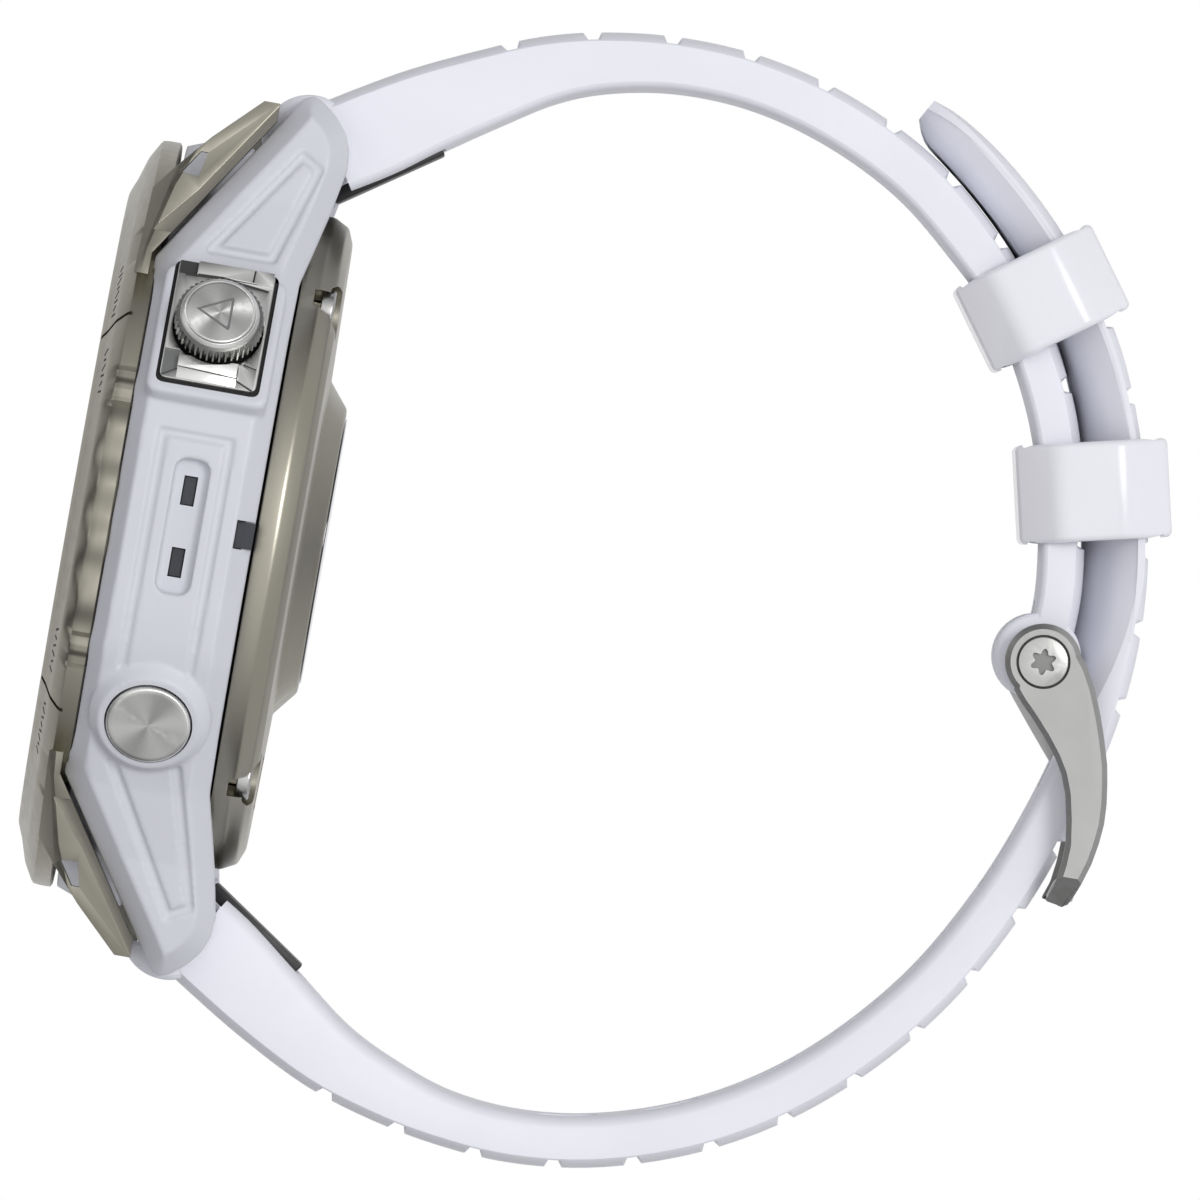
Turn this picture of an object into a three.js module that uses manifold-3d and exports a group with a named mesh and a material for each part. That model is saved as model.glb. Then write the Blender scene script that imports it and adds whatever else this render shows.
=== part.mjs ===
// A GPS running watch: a white polymer case with a metal bezel and rear cover, five buttons,
// and a silicone band buckled into a loop.
// Frame: +Z out of the dial, +Y to 12 o'clock, +X to 3 o'clock.
// Origin on the dial axis, at the flat back of the sensor bump that rests on the wrist.
// Lengths in millimetres, angles in degrees.

import * as THREE from 'three';
import { mergeVertices } from 'three/addons/utils/BufferGeometryUtils.js';
import Module from 'manifold-3d';

const wasm = await Module();
wasm.setup();

// ---- driving dimensions -------------------------------------------------

const BEZEL_R = 21.0;
const BEZEL_TOP_Z = 14.1;
const BEZEL_SEAT_Z = 11.65;
const CASE_TOP_Z = 11.9;
const CASE_BOTTOM_Z = 3.85;
const BARREL_R = 21.3;
const BARREL_TOP_Z = 11.4;
const CAVITY_R = 18.6;
const CAVITY_FLOOR_Z = 4.4;
const COVER_OPENING_R = 17.4;
const COVER_R = 18.4;
const COVER_TOP_Z = 3.7;
const BUMP_R = 9.4;
const SENSOR_WINDOW_R = 7.5;
const LENS_R = 17.2;
const SIDE_X = 21.6;

const LUG_INNER_X = 10.25;
const LUG_PIN = { y: 22.2, z: 4.7, r: 0.9, half: 11.6 };
const STRAP_SLOT_R = 3.1;

const BUTTON_AZIMUTH = 29;
const BUTTON_Z = 7.75;
const STEM_R = 1.0;
const STEM_BORE_R = 1.15;
const GUARD = { half_t: 3.9, half_z: 2.95, face_r: 23.3, floor_r: 21.9 };

const STRAP_ROOT_WIDTH = 20.0;
const STRAP_END_WIDTH = 18.0;
const KNUCKLE_R = 2.6;
const BUCKLE_PIN = { y: 0.9, z: -40.33, r: 0.75 };
const BUCKLE_HUB_R = 2.12;
const STRAP_BARREL = { y: 1.15, z: -40.0, r: 2.4 };
const TONGUE_WIDTH = 3.0;
const HOLE_WIDTH = 4.2;
const HOLE_LENGTH = 3.4;
const HOLE_PITCH = 6.1;
const FRAME_INNER_X = 9.7;
const FRAME_OUTER_X = 11.7;
const KEEPER_WINDOW_WIDTH = 18.9;
const KEEPER_WALL = 0.8;

const ROUND = 40;
const INNER_ROUND = 28;
const STRAP_12_STEPS = 28;
const STRAP_6_STEPS = 40;
const MEDIUM_ROUND = 20;
const SMALL_ROUND = 14;

// ---- materials ----------------------------------------------------------

function finish(color, roughness, metalness) {
  return new THREE.MeshStandardMaterial({ color, roughness, metalness });
}

const WHITE_POLYMER = finish(0xdcdde6, 0.55, 0);
const WHITE_SILICONE = finish(0xdfe0e8, 0.6, 0);
const WHITE_GLOSS = finish(0xeeeef3, 0.25, 0);
const TITANIUM = finish(0x96927f, 0.35, 1);
const STEEL = finish(0xb0b2ae, 0.3, 1);
const BLACK_GLASS = finish(0x0b0c0f, 0.08, 0);
const CLEAR_GLASS = finish(0x1a1d22, 0.05, 0);
const DARK_PLASTIC = finish(0x2e3034, 0.55, 0);
const GREY_MESH = finish(0x56585e, 0.7, 0);
const GREEN_BOARD = finish(0x1d4d37, 0.5, 0);
const BATTERY_FOIL = finish(0x9a9da2, 0.4, 0.6);
const RUBBER = finish(0x1b1b1d, 0.8, 0);
const GOLD = finish(0xc9a24b, 0.3, 1);

// ---- geometry helpers ---------------------------------------------------

function toSolid(geometry) {
  const bare = geometry.clone();
  bare.deleteAttribute('normal');
  bare.deleteAttribute('uv');
  const merged = mergeVertices(bare, 1e-4);
  const vertProperties = new Float32Array(merged.attributes.position.array);
  const triVerts = new Uint32Array(merged.index.array);
  return new wasm.Manifold(new wasm.Mesh({ numProp: 3, vertProperties, triVerts }));
}

function toGeometry(solid) {
  const mesh = solid.getMesh();
  const geometry = new THREE.BufferGeometry();
  geometry.setAttribute('position', new THREE.BufferAttribute(new Float32Array(mesh.vertProperties), 3));
  geometry.setIndex(new THREE.BufferAttribute(new Uint32Array(mesh.triVerts), 1));
  geometry.computeVertexNormals();
  return geometry;
}

const watch = new THREE.Group();

function addNode(name, shape, material, parent = watch) {
  const geometry = shape.isBufferGeometry ? shape : toGeometry(shape);
  const mesh = new THREE.Mesh(geometry, material);
  mesh.name = name;
  parent.add(mesh);
  return mesh;
}

function outlineShape(points) {
  return new THREE.Shape(points.map(([a, b]) => new THREE.Vector2(a, b)));
}

// An outline in the X-Y plane, standing from low to high in Z.
function prismZ(points, low, high) {
  const shape = outlineShape(points);
  const geometry = new THREE.ExtrudeGeometry(shape, { depth: high - low, bevelEnabled: false });
  geometry.translate(0, 0, low);
  return toSolid(geometry);
}

// An outline in the Y-Z plane, running from low to high in X.
function prismX(points, low, high) {
  const shape = outlineShape(points);
  const geometry = new THREE.ExtrudeGeometry(shape, { depth: high - low, bevelEnabled: false });
  const swap = new THREE.Matrix4().set(0, 0, 1, low, 1, 0, 0, 0, 0, 1, 0, 0, 0, 0, 0, 1);
  geometry.applyMatrix4(swap);
  return toSolid(geometry);
}

// A closed profile of [radius, z] turned about the Z axis.
function turned(profile, segments = ROUND) {
  const points = [...profile, profile[0]].map(([r, z]) => new THREE.Vector2(r, z));
  const geometry = new THREE.LatheGeometry(points, segments);
  geometry.rotateX(Math.PI / 2);
  return orient(geometry);
}

// Turns a closed surface inside out when its volume is negative.
function orient(geometry) {
  const bare = geometry.clone();
  bare.deleteAttribute('normal');
  bare.deleteAttribute('uv');
  const merged = mergeVertices(bare, 1e-4);
  const index = [];
  const source = merged.index.array;
  const position = merged.attributes.position;
  const corner = [new THREE.Vector3(), new THREE.Vector3(), new THREE.Vector3()];
  let volume = 0;
  for (let i = 0; i < source.length; i += 3) {
    const [a, b, c] = [source[i], source[i + 1], source[i + 2]];
    if (a === b || b === c || a === c) continue;
    index.push(a, b, c);
    corner.forEach((v, k) => v.fromBufferAttribute(position, [a, b, c][k]));
    volume += corner[0].dot(corner[1].clone().cross(corner[2]));
  }
  if (volume < 0) {
    for (let i = 0; i < index.length; i += 3) {
      [index[i + 1], index[i + 2]] = [index[i + 2], index[i + 1]];
    }
  }
  merged.setIndex(index);
  return toSolid(merged);
}

function discZ(r, low, high, segments = ROUND) {
  const geometry = new THREE.CylinderGeometry(r, r, high - low, segments);
  geometry.rotateX(Math.PI / 2);
  geometry.translate(0, 0, (low + high) / 2);
  return toSolid(geometry);
}

function ringZ(inner, outer, low, high, segments = ROUND) {
  return turned([[inner, low], [outer, low], [outer, high], [inner, high]], segments);
}

// A round bar along X, centred on (y, z).
function barX(y, z, r, low, high, segments = SMALL_ROUND) {
  const geometry = new THREE.CylinderGeometry(r, r, high - low, segments);
  geometry.rotateZ(Math.PI / 2);
  geometry.translate((low + high) / 2, y, z);
  return toSolid(geometry);
}

function block(x0, x1, y0, y1, z0, z1) {
  const geometry = new THREE.BoxGeometry(x1 - x0, y1 - y0, z1 - z0);
  geometry.translate((x0 + x1) / 2, (y0 + y1) / 2, (z0 + z1) / 2);
  return toSolid(geometry);
}

function union(solids) {
  return solids.reduce((a, b) => a.add(b));
}

// Takes away everything beyond the plane through point with the outward normal.
function shaved(solid, point, normal) {
  const reach = 30;
  const geometry = new THREE.BoxGeometry(2 * reach, 2 * reach, 2 * reach);
  geometry.translate(0, 0, reach);
  const turn = new THREE.Quaternion().setFromUnitVectors(
    new THREE.Vector3(0, 0, 1), new THREE.Vector3(...normal).normalize());
  geometry.applyQuaternion(turn);
  geometry.translate(...point);
  return solid.subtract(toSolid(geometry));
}

// A solid drawn along +X and raised to button height, turned to its azimuth.
function placedAt(azimuth, solid) {
  const geometry = toGeometry(solid);
  geometry.translate(0, 0, BUTTON_Z);
  geometry.rotateZ(THREE.MathUtils.degToRad(azimuth));
  return toSolid(geometry);
}

// ---- the buttons' places ------------------------------------------------

const BUTTONS = [
  { name: 'start', azimuth: BUTTON_AZIMUTH, face: 24.75, guarded: true },
  { name: 'back', azimuth: -BUTTON_AZIMUTH, face: 23.1, guarded: false },
  { name: 'light', azimuth: 180 - BUTTON_AZIMUTH, face: 23.1, guarded: false },
  { name: 'up', azimuth: 180, face: 23.1, guarded: false },
  { name: 'down', azimuth: 180 + BUTTON_AZIMUTH, face: 23.1, guarded: false },
];
const CAP_R = 2.35;
const SKIRT_R = 2.45;
const COLLAR_R = 2.95;
const COLLAR_TOP_R = 22.35;
const WELL_FLOOR_R = 21.4;
const SEAL = { at: 20.5, ring: 1.36, wire: 0.27 };

// ---- case ---------------------------------------------------------------

// The case seen from above, without its lugs.
function sideOutline() {
  const quarter = [[SIDE_X, 0], [SIDE_X, 4.8], [21.2, 7.2], [17.1, 14.6], [16.0, 17.6]];
  const right = [...quarter.slice(1).map(([x, y]) => [x, -y]).reverse(), ...quarter];
  const left = right.map(([x, y]) => [-x, -y]);
  return [...right, ...left];
}

// The lug at +X, 12 o'clock, seen from above and from the side.
const LUG_ROOT_X = LUG_INNER_X - 0.6;
const LUG_OUTLINE = [[9, 11.5], [18.9, 11.5], [17.15, 14.7], [15.6, 18.5], [14.0, 25], [9, 25]];
const LUG_TOP_Z = CASE_TOP_Z - 0.02;
const LUG_PROFILE = [[9, LUG_TOP_Z], [9, CASE_BOTTOM_Z + 0.02], [14.3, 3.8], [18.5, 2.8], [21.0, 2.3],
  [22.1, 2.4], [23.0, 2.75], [23.8, 3.4], [24.5, 4.3], [24.7, 4.8], [24.5, 5.3], [22.8, 6.4],
  [14.47, LUG_TOP_Z]];

function casePlain() {
  const sides = prismZ(sideOutline(), CASE_BOTTOM_Z, CASE_TOP_Z);
  const keep = block(-30, 30, -14.5, 14.5, 0, 20);
  const barrelProfile = [[0, CASE_BOTTOM_Z], [BARREL_R - 0.6, CASE_BOTTOM_Z], [BARREL_R, 5.2],
    [BARREL_R + 0.15, 9.95], [BARREL_R - 0.4, BARREL_TOP_Z], [0, BARREL_TOP_Z]];
  const barrel = orient(new THREE.LatheGeometry(
    barrelProfile.map(([r, z]) => new THREE.Vector2(r, z)), ROUND).rotateX(Math.PI / 2));
  let body = sides.intersect(keep).add(barrel);
  const profile = prismX(LUG_PROFILE, LUG_ROOT_X, 22);
  let lug = prismZ(LUG_OUTLINE, 0, 14).intersect(profile);
  lug = shaved(lug, [16.0, 18.6, 8.4], [0.62, 0.5, 0.62]);
  lug = shaved(lug, [14.3, 24.0, 4.7], [0.62, 0.75, 0.1]);
  lug = shaved(lug, [16.2, 17.0, 3.1], [0.7, 0.05, -0.72]);
  const lugs = [[1, 1], [1, -1], [-1, 1], [-1, -1]].map(([sx, sy]) => flipped(lug, sx, sy));
  body = union([body, ...lugs]);
  return body;
}

// A mirror image in the planes X=0 and Y=0, kept facing outwards.
function flipped(solid, sx, sy) {
  const geometry = toGeometry(solid);
  geometry.scale(sx, sy, 1);
  return orient(geometry);
}

function caseTopBevels(body) {
  const edge = 0.9;
  let out = body;
  for (const side of [1, -1]) {
    out = shaved(out, [side * (SIDE_X - edge), 0, CASE_TOP_Z], [side * 0.62, 0, 0.78]);
    out = shaved(out, [side * SIDE_X, 0, CASE_BOTTOM_Z + edge], [side * 0.78, 0, -0.62]);
  }
  return out;
}

function makeCase() {
  let body = caseTopBevels(casePlain());
  const recess = roundedBoxX(0, BUTTON_Z, 7.5, 1.95, 0.7, 20.9, 24);
  body = body.subtract(recess);
  for (const port of PORTS) {
    body = body.subtract(block(18, 24, port.y - port.half_y, port.y + port.half_y,
      port.z - port.half_z, port.z + port.half_z));
  }
  for (const button of BUTTONS) {
    if (!button.guarded) {
      const collar = alongX(COLLAR_R, 20, COLLAR_TOP_R, MEDIUM_ROUND);
      const well = alongX(SKIRT_R + 0.1, WELL_FLOOR_R, 26, MEDIUM_ROUND);
      body = body.add(placedAt(button.azimuth, collar));
      body = body.subtract(placedAt(button.azimuth, well));
    }
  }
  body = body.subtract(discZ(BEZEL_R + 0.12, BEZEL_SEAT_Z, 14));
  body = body.subtract(discZ(CAVITY_R, CAVITY_FLOOR_Z, 14));
  body = body.subtract(discZ(COVER_OPENING_R, 0, 5));
  body = body.subtract(discZ(COVER_R + 0.25, 0, CASE_BOTTOM_Z));
  body = body.subtract(guardPocket());
  for (const button of BUTTONS) {
    const bore = alongX(STEM_BORE_R, 15, 26).add(alongX(1.72, SEAL.at - 0.5, SEAL.at + 0.45));
    body = body.subtract(placedAt(button.azimuth, bore));
  }
  for (const side of [1, -1]) {
    const { y, z } = LUG_PIN;
    body = body.subtract(barX(side * y, z, STRAP_SLOT_R, -LUG_INNER_X, LUG_INNER_X, MEDIUM_ROUND));
    const slot = [[y - STRAP_SLOT_R, z], [y - STRAP_SLOT_R, 0], [27, 0], [27, 12.5], [y - 0.8, 12.5],
      [y - 0.8, z + 2.9], [y - 1.8, z + 2.4]];
    body = body.subtract(prismXAny(slot.map(([sy, sz]) => [side * sy, sz]), -LUG_INNER_X, LUG_INNER_X));
    body = body.subtract(barX(side * y, z, LUG_PIN.r + 0.08, -LUG_PIN.half - 0.1, LUG_PIN.half + 0.1));
  }
  return body;
}

function alongX(r, low, high, segments = SMALL_ROUND) {
  return barX(0, 0, r, low, high, segments);
}

function guardPocket() {
  const pocket = block(GUARD.floor_r - 0.1, 26, -GUARD.half_t - 0.12, GUARD.half_t + 0.12,
    -GUARD.half_z - 0.12, GUARD.half_z + 0.12);
  return placedAt(BUTTON_AZIMUTH, pocket);
}

function roundedBoxX(y, z, width, height, corner, low, high) {
  const shape = new THREE.Shape();
  const [w, h] = [width / 2, height / 2];
  shape.moveTo(y - w + corner, z - h);
  shape.lineTo(y + w - corner, z - h);
  shape.absarc(y + w - corner, z - h + corner, corner, -Math.PI / 2, 0);
  shape.absarc(y + w - corner, z + h - corner, corner, 0, Math.PI / 2);
  shape.absarc(y - w + corner, z + h - corner, corner, Math.PI / 2, Math.PI);
  shape.absarc(y - w + corner, z - h + corner, corner, Math.PI, 1.5 * Math.PI);
  const points = shape.getPoints(4).map((p) => [p.x, p.y]);
  return prismX(points.slice(0, -1), low, high);
}

// ---- ports --------------------------------------------------------------

const PORTS = [
  { name: 'port_screen_upper', y: 2.0, z: BUTTON_Z, half_y: 0.82, half_z: 0.38, face: 20.7 },
  { name: 'port_screen_lower', y: -2.0, z: BUTTON_Z, half_y: 0.82, half_z: 0.38, face: 20.7 },
  { name: 'port_screen_rear', y: 0.1, z: 4.3, half_y: 0.8, half_z: 0.55, face: 20.6 },
];

function addPorts() {
  for (const port of PORTS) {
    const gap = 0.06;
    const [halfY, halfZ] = [port.half_y - gap, port.half_z - gap];
    const screen = block(port.face - 0.5, port.face, port.y - halfY, port.y + halfY,
      port.z - halfZ, port.z + halfZ);
    addNode(port.name, screen, GREY_MESH);
  }
}

// ---- bezel --------------------------------------------------------------

function strutProfile() {
  return [[13.4, 12.1], [14.6, 12.1], [22.95, 6.6], [23.95, 6.6], [23.95, 7.45], [21.5, 9.95],
    [19.6, 11.6], [18.2, 12.7], [13.4, 12.9]];
}

const STRUT_WINDOW = [[19.2, 10.3], [20.6, 10.0], [20.6, 10.45], [19.3, 11.3]];

function makeBezel() {
  const ring = turned([[17.4, BEZEL_SEAT_Z + 0.03], [BEZEL_R, BEZEL_SEAT_Z + 0.03], [BEZEL_R, 12.8],
    [19.9, 13.35], [18.5, 13.8], [17.8, BEZEL_TOP_Z], [17.4, BEZEL_TOP_Z]]);
  const plan = [[10.6, 13.4], [18.0, 13.4], [17.2, 14.8], [15.7, 18.5], [14.2, 24.2], [10.6, 24.2]];
  let strut = prismX(strutProfile(), 10.6, 19).intersect(prismZ(plan, 5, 14));
  strut = strut.subtract(prismX(STRUT_WINDOW, 10, 20));
  strut = shaved(strut, [15.6, 18.5, 11.6], [0.66, 0.42, 0.62]);
  strut = strut.subtract(discZ(17.4, 5, 14.2)).subtract(discZ(BARREL_R + 0.35, 5, BEZEL_SEAT_Z));
  const struts = [[1, 1], [1, -1], [-1, 1], [-1, -1]].map(([sx, sy]) => flipped(strut, sx, sy));
  let bezel = union([ring, ...struts]);
  bezel = bezel.subtract(union(scallops()));
  return bezel;
}

// Shallow flats milled round the side of the bezel between the struts.
function scallops() {
  const flats = [];
  for (const azimuth of [-24, -8, 8, 24, 156, 172, 188, 204]) {
    const flat = block(BEZEL_R - 0.35, 24, -1.8, 1.8, 12.15, 14);
    const geometry = toGeometry(flat);
    geometry.rotateZ(THREE.MathUtils.degToRad(azimuth));
    flats.push(toSolid(geometry));
  }
  return flats;
}

// ---- display stack ------------------------------------------------------

function addDisplay() {
  const lens = turned([[0, 12.5], [LENS_R, 12.5], [LENS_R, 13.75], [LENS_R - 0.3, 14.0], [0, 14.0]]);
  addNode('display_lens', lens, CLEAR_GLASS);
  addNode('lens_gasket', ringZ(16.6, LENS_R, 12.1, 12.4, INNER_ROUND), RUBBER);
  const ring = turned([[16.1, 11.2], [17.2, 11.2], [17.2, 12.0], [16.6, 12.0]], INNER_ROUND);
  addNode('dial_ring', ring, DARK_PLASTIC);
  addNode('display_panel', discZ(15.9, 10.6, 12.0, INNER_ROUND), BLACK_GLASS);
}

// ---- inside -------------------------------------------------------------

function addInside() {
  const chassis = ringZ(15.4, 16.9, 4.6, 10.4, INNER_ROUND).subtract(block(-14, 14, -18, -14.2, 4, 8));
  addNode('chassis', chassis, DARK_PLASTIC);
  addNode('main_board', discZ(15.2, 9.2, 10.0, INNER_ROUND).add(block(-8, -1, 2, 9, 8.4, 9.3))
    .add(block(2, 7, -9, -4, 8.5, 9.3)).add(block(1, 9, 3, 6, 8.6, 9.3)), GREEN_BOARD);
  addNode('battery', block(-11, 8, -10.4, 10.4, 4.6, 8.2), BATTERY_FOIL);
  const motor = new THREE.CylinderGeometry(2.6, 2.6, 2.6, SMALL_ROUND);
  motor.rotateX(Math.PI / 2);
  motor.translate(11.4, 4.5, 6.1);
  addNode('vibration_motor', motor, STEEL);
  addNode('pressure_sensor', block(13.2, 15.0, -1.5, 1.5, 6.9, 8.6), STEEL);
  const antenna = ringZ(17.1, 18.3, 9.0, 10.2, INNER_ROUND).intersect(block(-19, 19, 12, 19, 5, 11));
  addNode('gps_antenna', antenna, GOLD);
  addNode('sensor_board', discZ(6.6, 1.35, 1.75, MEDIUM_ROUND).add(block(-1.2, 1.2, -1.2, 1.2, 0.75, 1.4))
    .add(block(-4.6, -3.2, -0.9, 0.9, 0.75, 1.4)).add(block(3.2, 4.6, -0.9, 0.9, 0.75, 1.4)), GREEN_BOARD);
}

// ---- rear ---------------------------------------------------------------

const SOCKET = { y: -13.3, half_x: 2.8, half_y: 1.5 };
const REAR_SCREW = { r: 16.6, azimuths: [52, 128, 232, 308], head: 1.25, shank: 0.55 };

function rearScrewCentre(azimuth) {
  const a = THREE.MathUtils.degToRad(azimuth);
  return [REAR_SCREW.r * Math.cos(a), REAR_SCREW.r * Math.sin(a)];
}

function discAt(x, y, r, low, high, segments = SMALL_ROUND) {
  const geometry = new THREE.CylinderGeometry(r, r, high - low, segments);
  geometry.rotateX(Math.PI / 2);
  geometry.translate(x, y, (low + high) / 2);
  return toSolid(geometry);
}

function addRear() {
  let cover = turned([[COVER_R, COVER_TOP_Z], [COVER_R, 2.6], [17.95, 1.75], [17.1, 1.4], [BUMP_R, 1.25],
    [8.0, 0.12], [7.65, 0.1], [7.65, 0.6], [6.95, 0.6], [6.95, 1.9], [14.8, 2.3], [14.8, COVER_TOP_Z]]);
  const { y: socketY, half_x: socketX, half_y: socketHalf } = SOCKET;
  cover = cover.subtract(block(-socketX, socketX, socketY - socketHalf, socketY + socketHalf, 0, 4));
  for (const azimuth of REAR_SCREW.azimuths) {
    const [x, y] = rearScrewCentre(azimuth);
    cover = cover.subtract(discAt(x, y, REAR_SCREW.head + 0.25, 0, 2.5));
    cover = cover.subtract(discAt(x, y, REAR_SCREW.shank + 0.1, 0, 4));
  }
  addNode('rear_cover', cover, TITANIUM);
  addNode('rear_gasket', ringZ(16.95, 17.3, 3.75, 4.2, INNER_ROUND), RUBBER);
  addNode('sensor_window', discZ(SENSOR_WINDOW_R, 0, 0.5, INNER_ROUND), BLACK_GLASS);
  REAR_SCREW.azimuths.forEach((azimuth, k) => {
    const [x, y] = rearScrewCentre(azimuth);
    let screw = discAt(x, y, REAR_SCREW.head, 1.7, 2.45).add(discAt(x, y, REAR_SCREW.shank, 2.3, 3.65));
    screw = screw.subtract(discAt(x, y, 0.5, 1.5, 2.1, 6));
    addNode(`rear_screw_${k + 1}`, screw, STEEL);
  });
  const [trayX, trayY] = [socketX - 0.08, socketHalf - 0.08];
  let socket = block(-trayX, trayX, socketY - trayY, socketY + trayY, 1.6, 3.6);
  socket = socket.subtract(block(-2.2, 2.2, socketY - 0.9, socketY + 0.9, 1, 2.6));
  addNode('charge_socket', socket, DARK_PLASTIC);
  for (let k = 0; k < 4; k += 1) {
    const x = -1.5 + k;
    const contact = block(x - 0.25, x + 0.25, socketY - 0.25, socketY + 0.25, 1.9, 2.6);
    addNode(`charge_contact_${k + 1}`, contact, GOLD);
  }
}

// ---- buttons ------------------------------------------------------------

function makeGuard() {
  const { half_t: t, half_z: z, face_r: face, floor_r: floor } = GUARD;
  let guard = block(floor, floor + 0.6, -t, t, -z, z);
  for (const side of [1, -1]) {
    const wall = [[side * 2.75, -z], [side * t, -z], [side * t, z], [side * 2.75, z]];
    const end = prismX(side > 0 ? wall : [...wall].reverse(), floor, face);
    guard = guard.add(shaved(end, [face, side * (t - 0.9), 0], [0.75, side * -0.66, 0]));
  }
  guard = guard.subtract(alongX(SKIRT_R + 0.2, 20, 26, MEDIUM_ROUND));
  const lip = 0.35;
  guard = guard.add(block(floor, floor + 0.9, -t, t, z - lip, z));
  guard = guard.add(block(floor, floor + 0.9, -t, t, -z, -z + lip));
  return guard;
}

function knurledSkirt(low, high) {
  const teeth = 20;
  const points = [];
  for (let k = 0; k < 2 * teeth; k += 1) {
    const a = (Math.PI * k) / teeth;
    const r = k % 2 ? SKIRT_R - 0.14 : SKIRT_R;
    points.push([r * Math.cos(a), r * Math.sin(a)]);
  }
  return prismX(points, low, high);
}

// The start mark, an arrowhead pointing to the dial, as [towards 12 o'clock, up].
const PLAY_MARK = [[-1.1, -0.65], [1.1, -0.65], [0, 1.35]];

function makeStartCap(face) {
  const stem = alongX(STEM_R, 18.9, face - 1.8);
  let cap = knurledSkirt(face - 2.0, face - 0.45).add(alongX(2.1, face - 0.6, face, MEDIUM_ROUND));
  cap = cap.subtract(prismX(PLAY_MARK, face - 0.15, face + 1));
  return stem.add(cap);
}

function makePlainCap(face) {
  const low = face - 0.78;
  const profile = [[0, low], [CAP_R, low], [CAP_R, face - 0.12], [CAP_R - 0.15, face], [0, face]];
  const geometry = new THREE.LatheGeometry(profile.map(([r, x]) => new THREE.Vector2(r, x)), MEDIUM_ROUND);
  geometry.rotateZ(-Math.PI / 2);
  return orient(geometry).add(alongX(STEM_R, 18.9, face - 0.6));
}

function addButtons() {
  for (const button of BUTTONS) {
    const place = new THREE.Group();
    place.position.z = BUTTON_Z;
    place.rotation.z = THREE.MathUtils.degToRad(button.azimuth);
    watch.add(place);
    const cap = button.guarded ? makeStartCap(button.face) : makePlainCap(button.face);
    addNode(`${button.name}_button`, cap, STEEL, place);
    if (button.guarded) addNode('start_guard', makeGuard(), STEEL, place);
    const seal = new THREE.TorusGeometry(SEAL.ring, SEAL.wire, 4, 12);
    seal.rotateY(Math.PI / 2);
    seal.translate(SEAL.at, 0, 0);
    addNode(`${button.name}_seal`, seal, RUBBER, place);
    const contact = block(17.2, 18.15, -1.2, 1.2, -1.2, 1.1);
    addNode(`${button.name}_switch`, contact, DARK_PLASTIC, place);
  }
}

// ---- band ---------------------------------------------------------------

// Middle line of each strap with its thickness: [y, z, thickness].
const STRAP_12_LINE = [
  [22.2, 3.3, 5.2], [23.5, 1.2, 5.2], [25.0, -1.1, 4.9], [26.95, -4.5, 4.3], [28.45, -7.4, 3.75],
  [29.4, -10.25, 3.35], [30.05, -14.5, 3.05], [29.85, -19.2, 2.95], [28.6, -24.0, 2.95],
  [26.3, -28.7, 2.95], [23.4, -32.3, 2.9], [19.9, -35.6, 2.6], [15.2, -38.3, 2.6], [11.0, -39.7, 2.5],
  [7.5, -40.35, 2.5], [4.75, -40.65, 2.5], [2.4, -40.6, 2.5]];
const STRAP_6_LINE = [
  [-22.2, 3.3, 5.2], [-23.1, 1.9, 5.2], [-25.2, -1.15, 4.8], [-27.6, -5.0, 4.0], [-28.95, -8.4, 3.45],
  [-29.85, -11.8, 3.0], [-30.2, -16.0, 2.9], [-29.6, -20.8, 2.9], [-27.6, -26.45, 2.9],
  [-24.2, -31.7, 2.9], [-18.8, -36.8, 2.9], [-13.0, -40.2, 2.85], [-7.6, -42.3, 2.75],
  [-2.0, -43.75, 2.6], [1.45, -44.25, 2.45], [5.0, -44.25, 2.4], [8.1, -43.85, 2.45],
  [13.9, -42.3, 2.6], [19.1, -39.95, 2.7], [24.05, -35.95, 2.75], [27.1, -32.6, 2.7],
  [29.0, -29.9, 2.4], [29.75, -28.6, 1.9]];

function strapCurve(line) {
  const points = line.map(([y, z, thickness]) => new THREE.Vector3(y, z, thickness));
  return new THREE.CatmullRomCurve3(points, false, 'centripetal');
}

// A band lofted along a middle line, with bevelled long edges.
function strapBody(line, widthAt, steps) {
  const curve = strapCurve(line);
  const positions = [];
  const edge = 0.45;
  for (let i = 0; i <= steps; i += 1) {
    const p = curve.getPoint(i / steps);
    const tangent = curve.getTangent(i / steps);
    const length = Math.hypot(tangent.x, tangent.y);
    const normal = [tangent.y / length, -tangent.x / length];
    const [w, h] = [widthAt(i / steps) / 2, p.z / 2];
    const section = [[w, -h + edge], [w, h - edge], [w - edge, h], [-w + edge, h],
      [-w, h - edge], [-w, -h + edge], [-w + edge, -h], [w - edge, -h]];
    for (const [x, n] of section) positions.push(x, p.x + normal[0] * n, p.y + normal[1] * n);
  }
  const index = [];
  const side = 8;
  for (let i = 0; i < steps; i += 1) {
    for (let k = 0; k < side; k += 1) {
      const [a, b] = [i * side + k, i * side + ((k + 1) % side)];
      index.push(a, b, a + side, b, b + side, a + side);
    }
  }
  for (let k = 1; k < side - 1; k += 1) {
    index.push(0, k + 1, k);
    index.push(steps * side, steps * side + k, steps * side + k + 1);
  }
  const geometry = new THREE.BufferGeometry();
  geometry.setAttribute('position', new THREE.Float32BufferAttribute(positions, 3));
  geometry.setIndex(index);
  return orient(geometry);
}

function taper(full, from) {
  return (t) => THREE.MathUtils.lerp(STRAP_ROOT_WIDTH, full, THREE.MathUtils.smoothstep(t, 0, from));
}

// A point on a strap's middle line, with the unit direction along it.
function strapPoint(line, t) {
  const curve = strapCurve(line);
  const p = curve.getPoint(t);
  const d = curve.getTangent(t);
  const length = Math.hypot(d.x, d.y);
  return { y: p.x, z: p.y, dy: d.x / length, dz: d.y / length };
}

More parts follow.
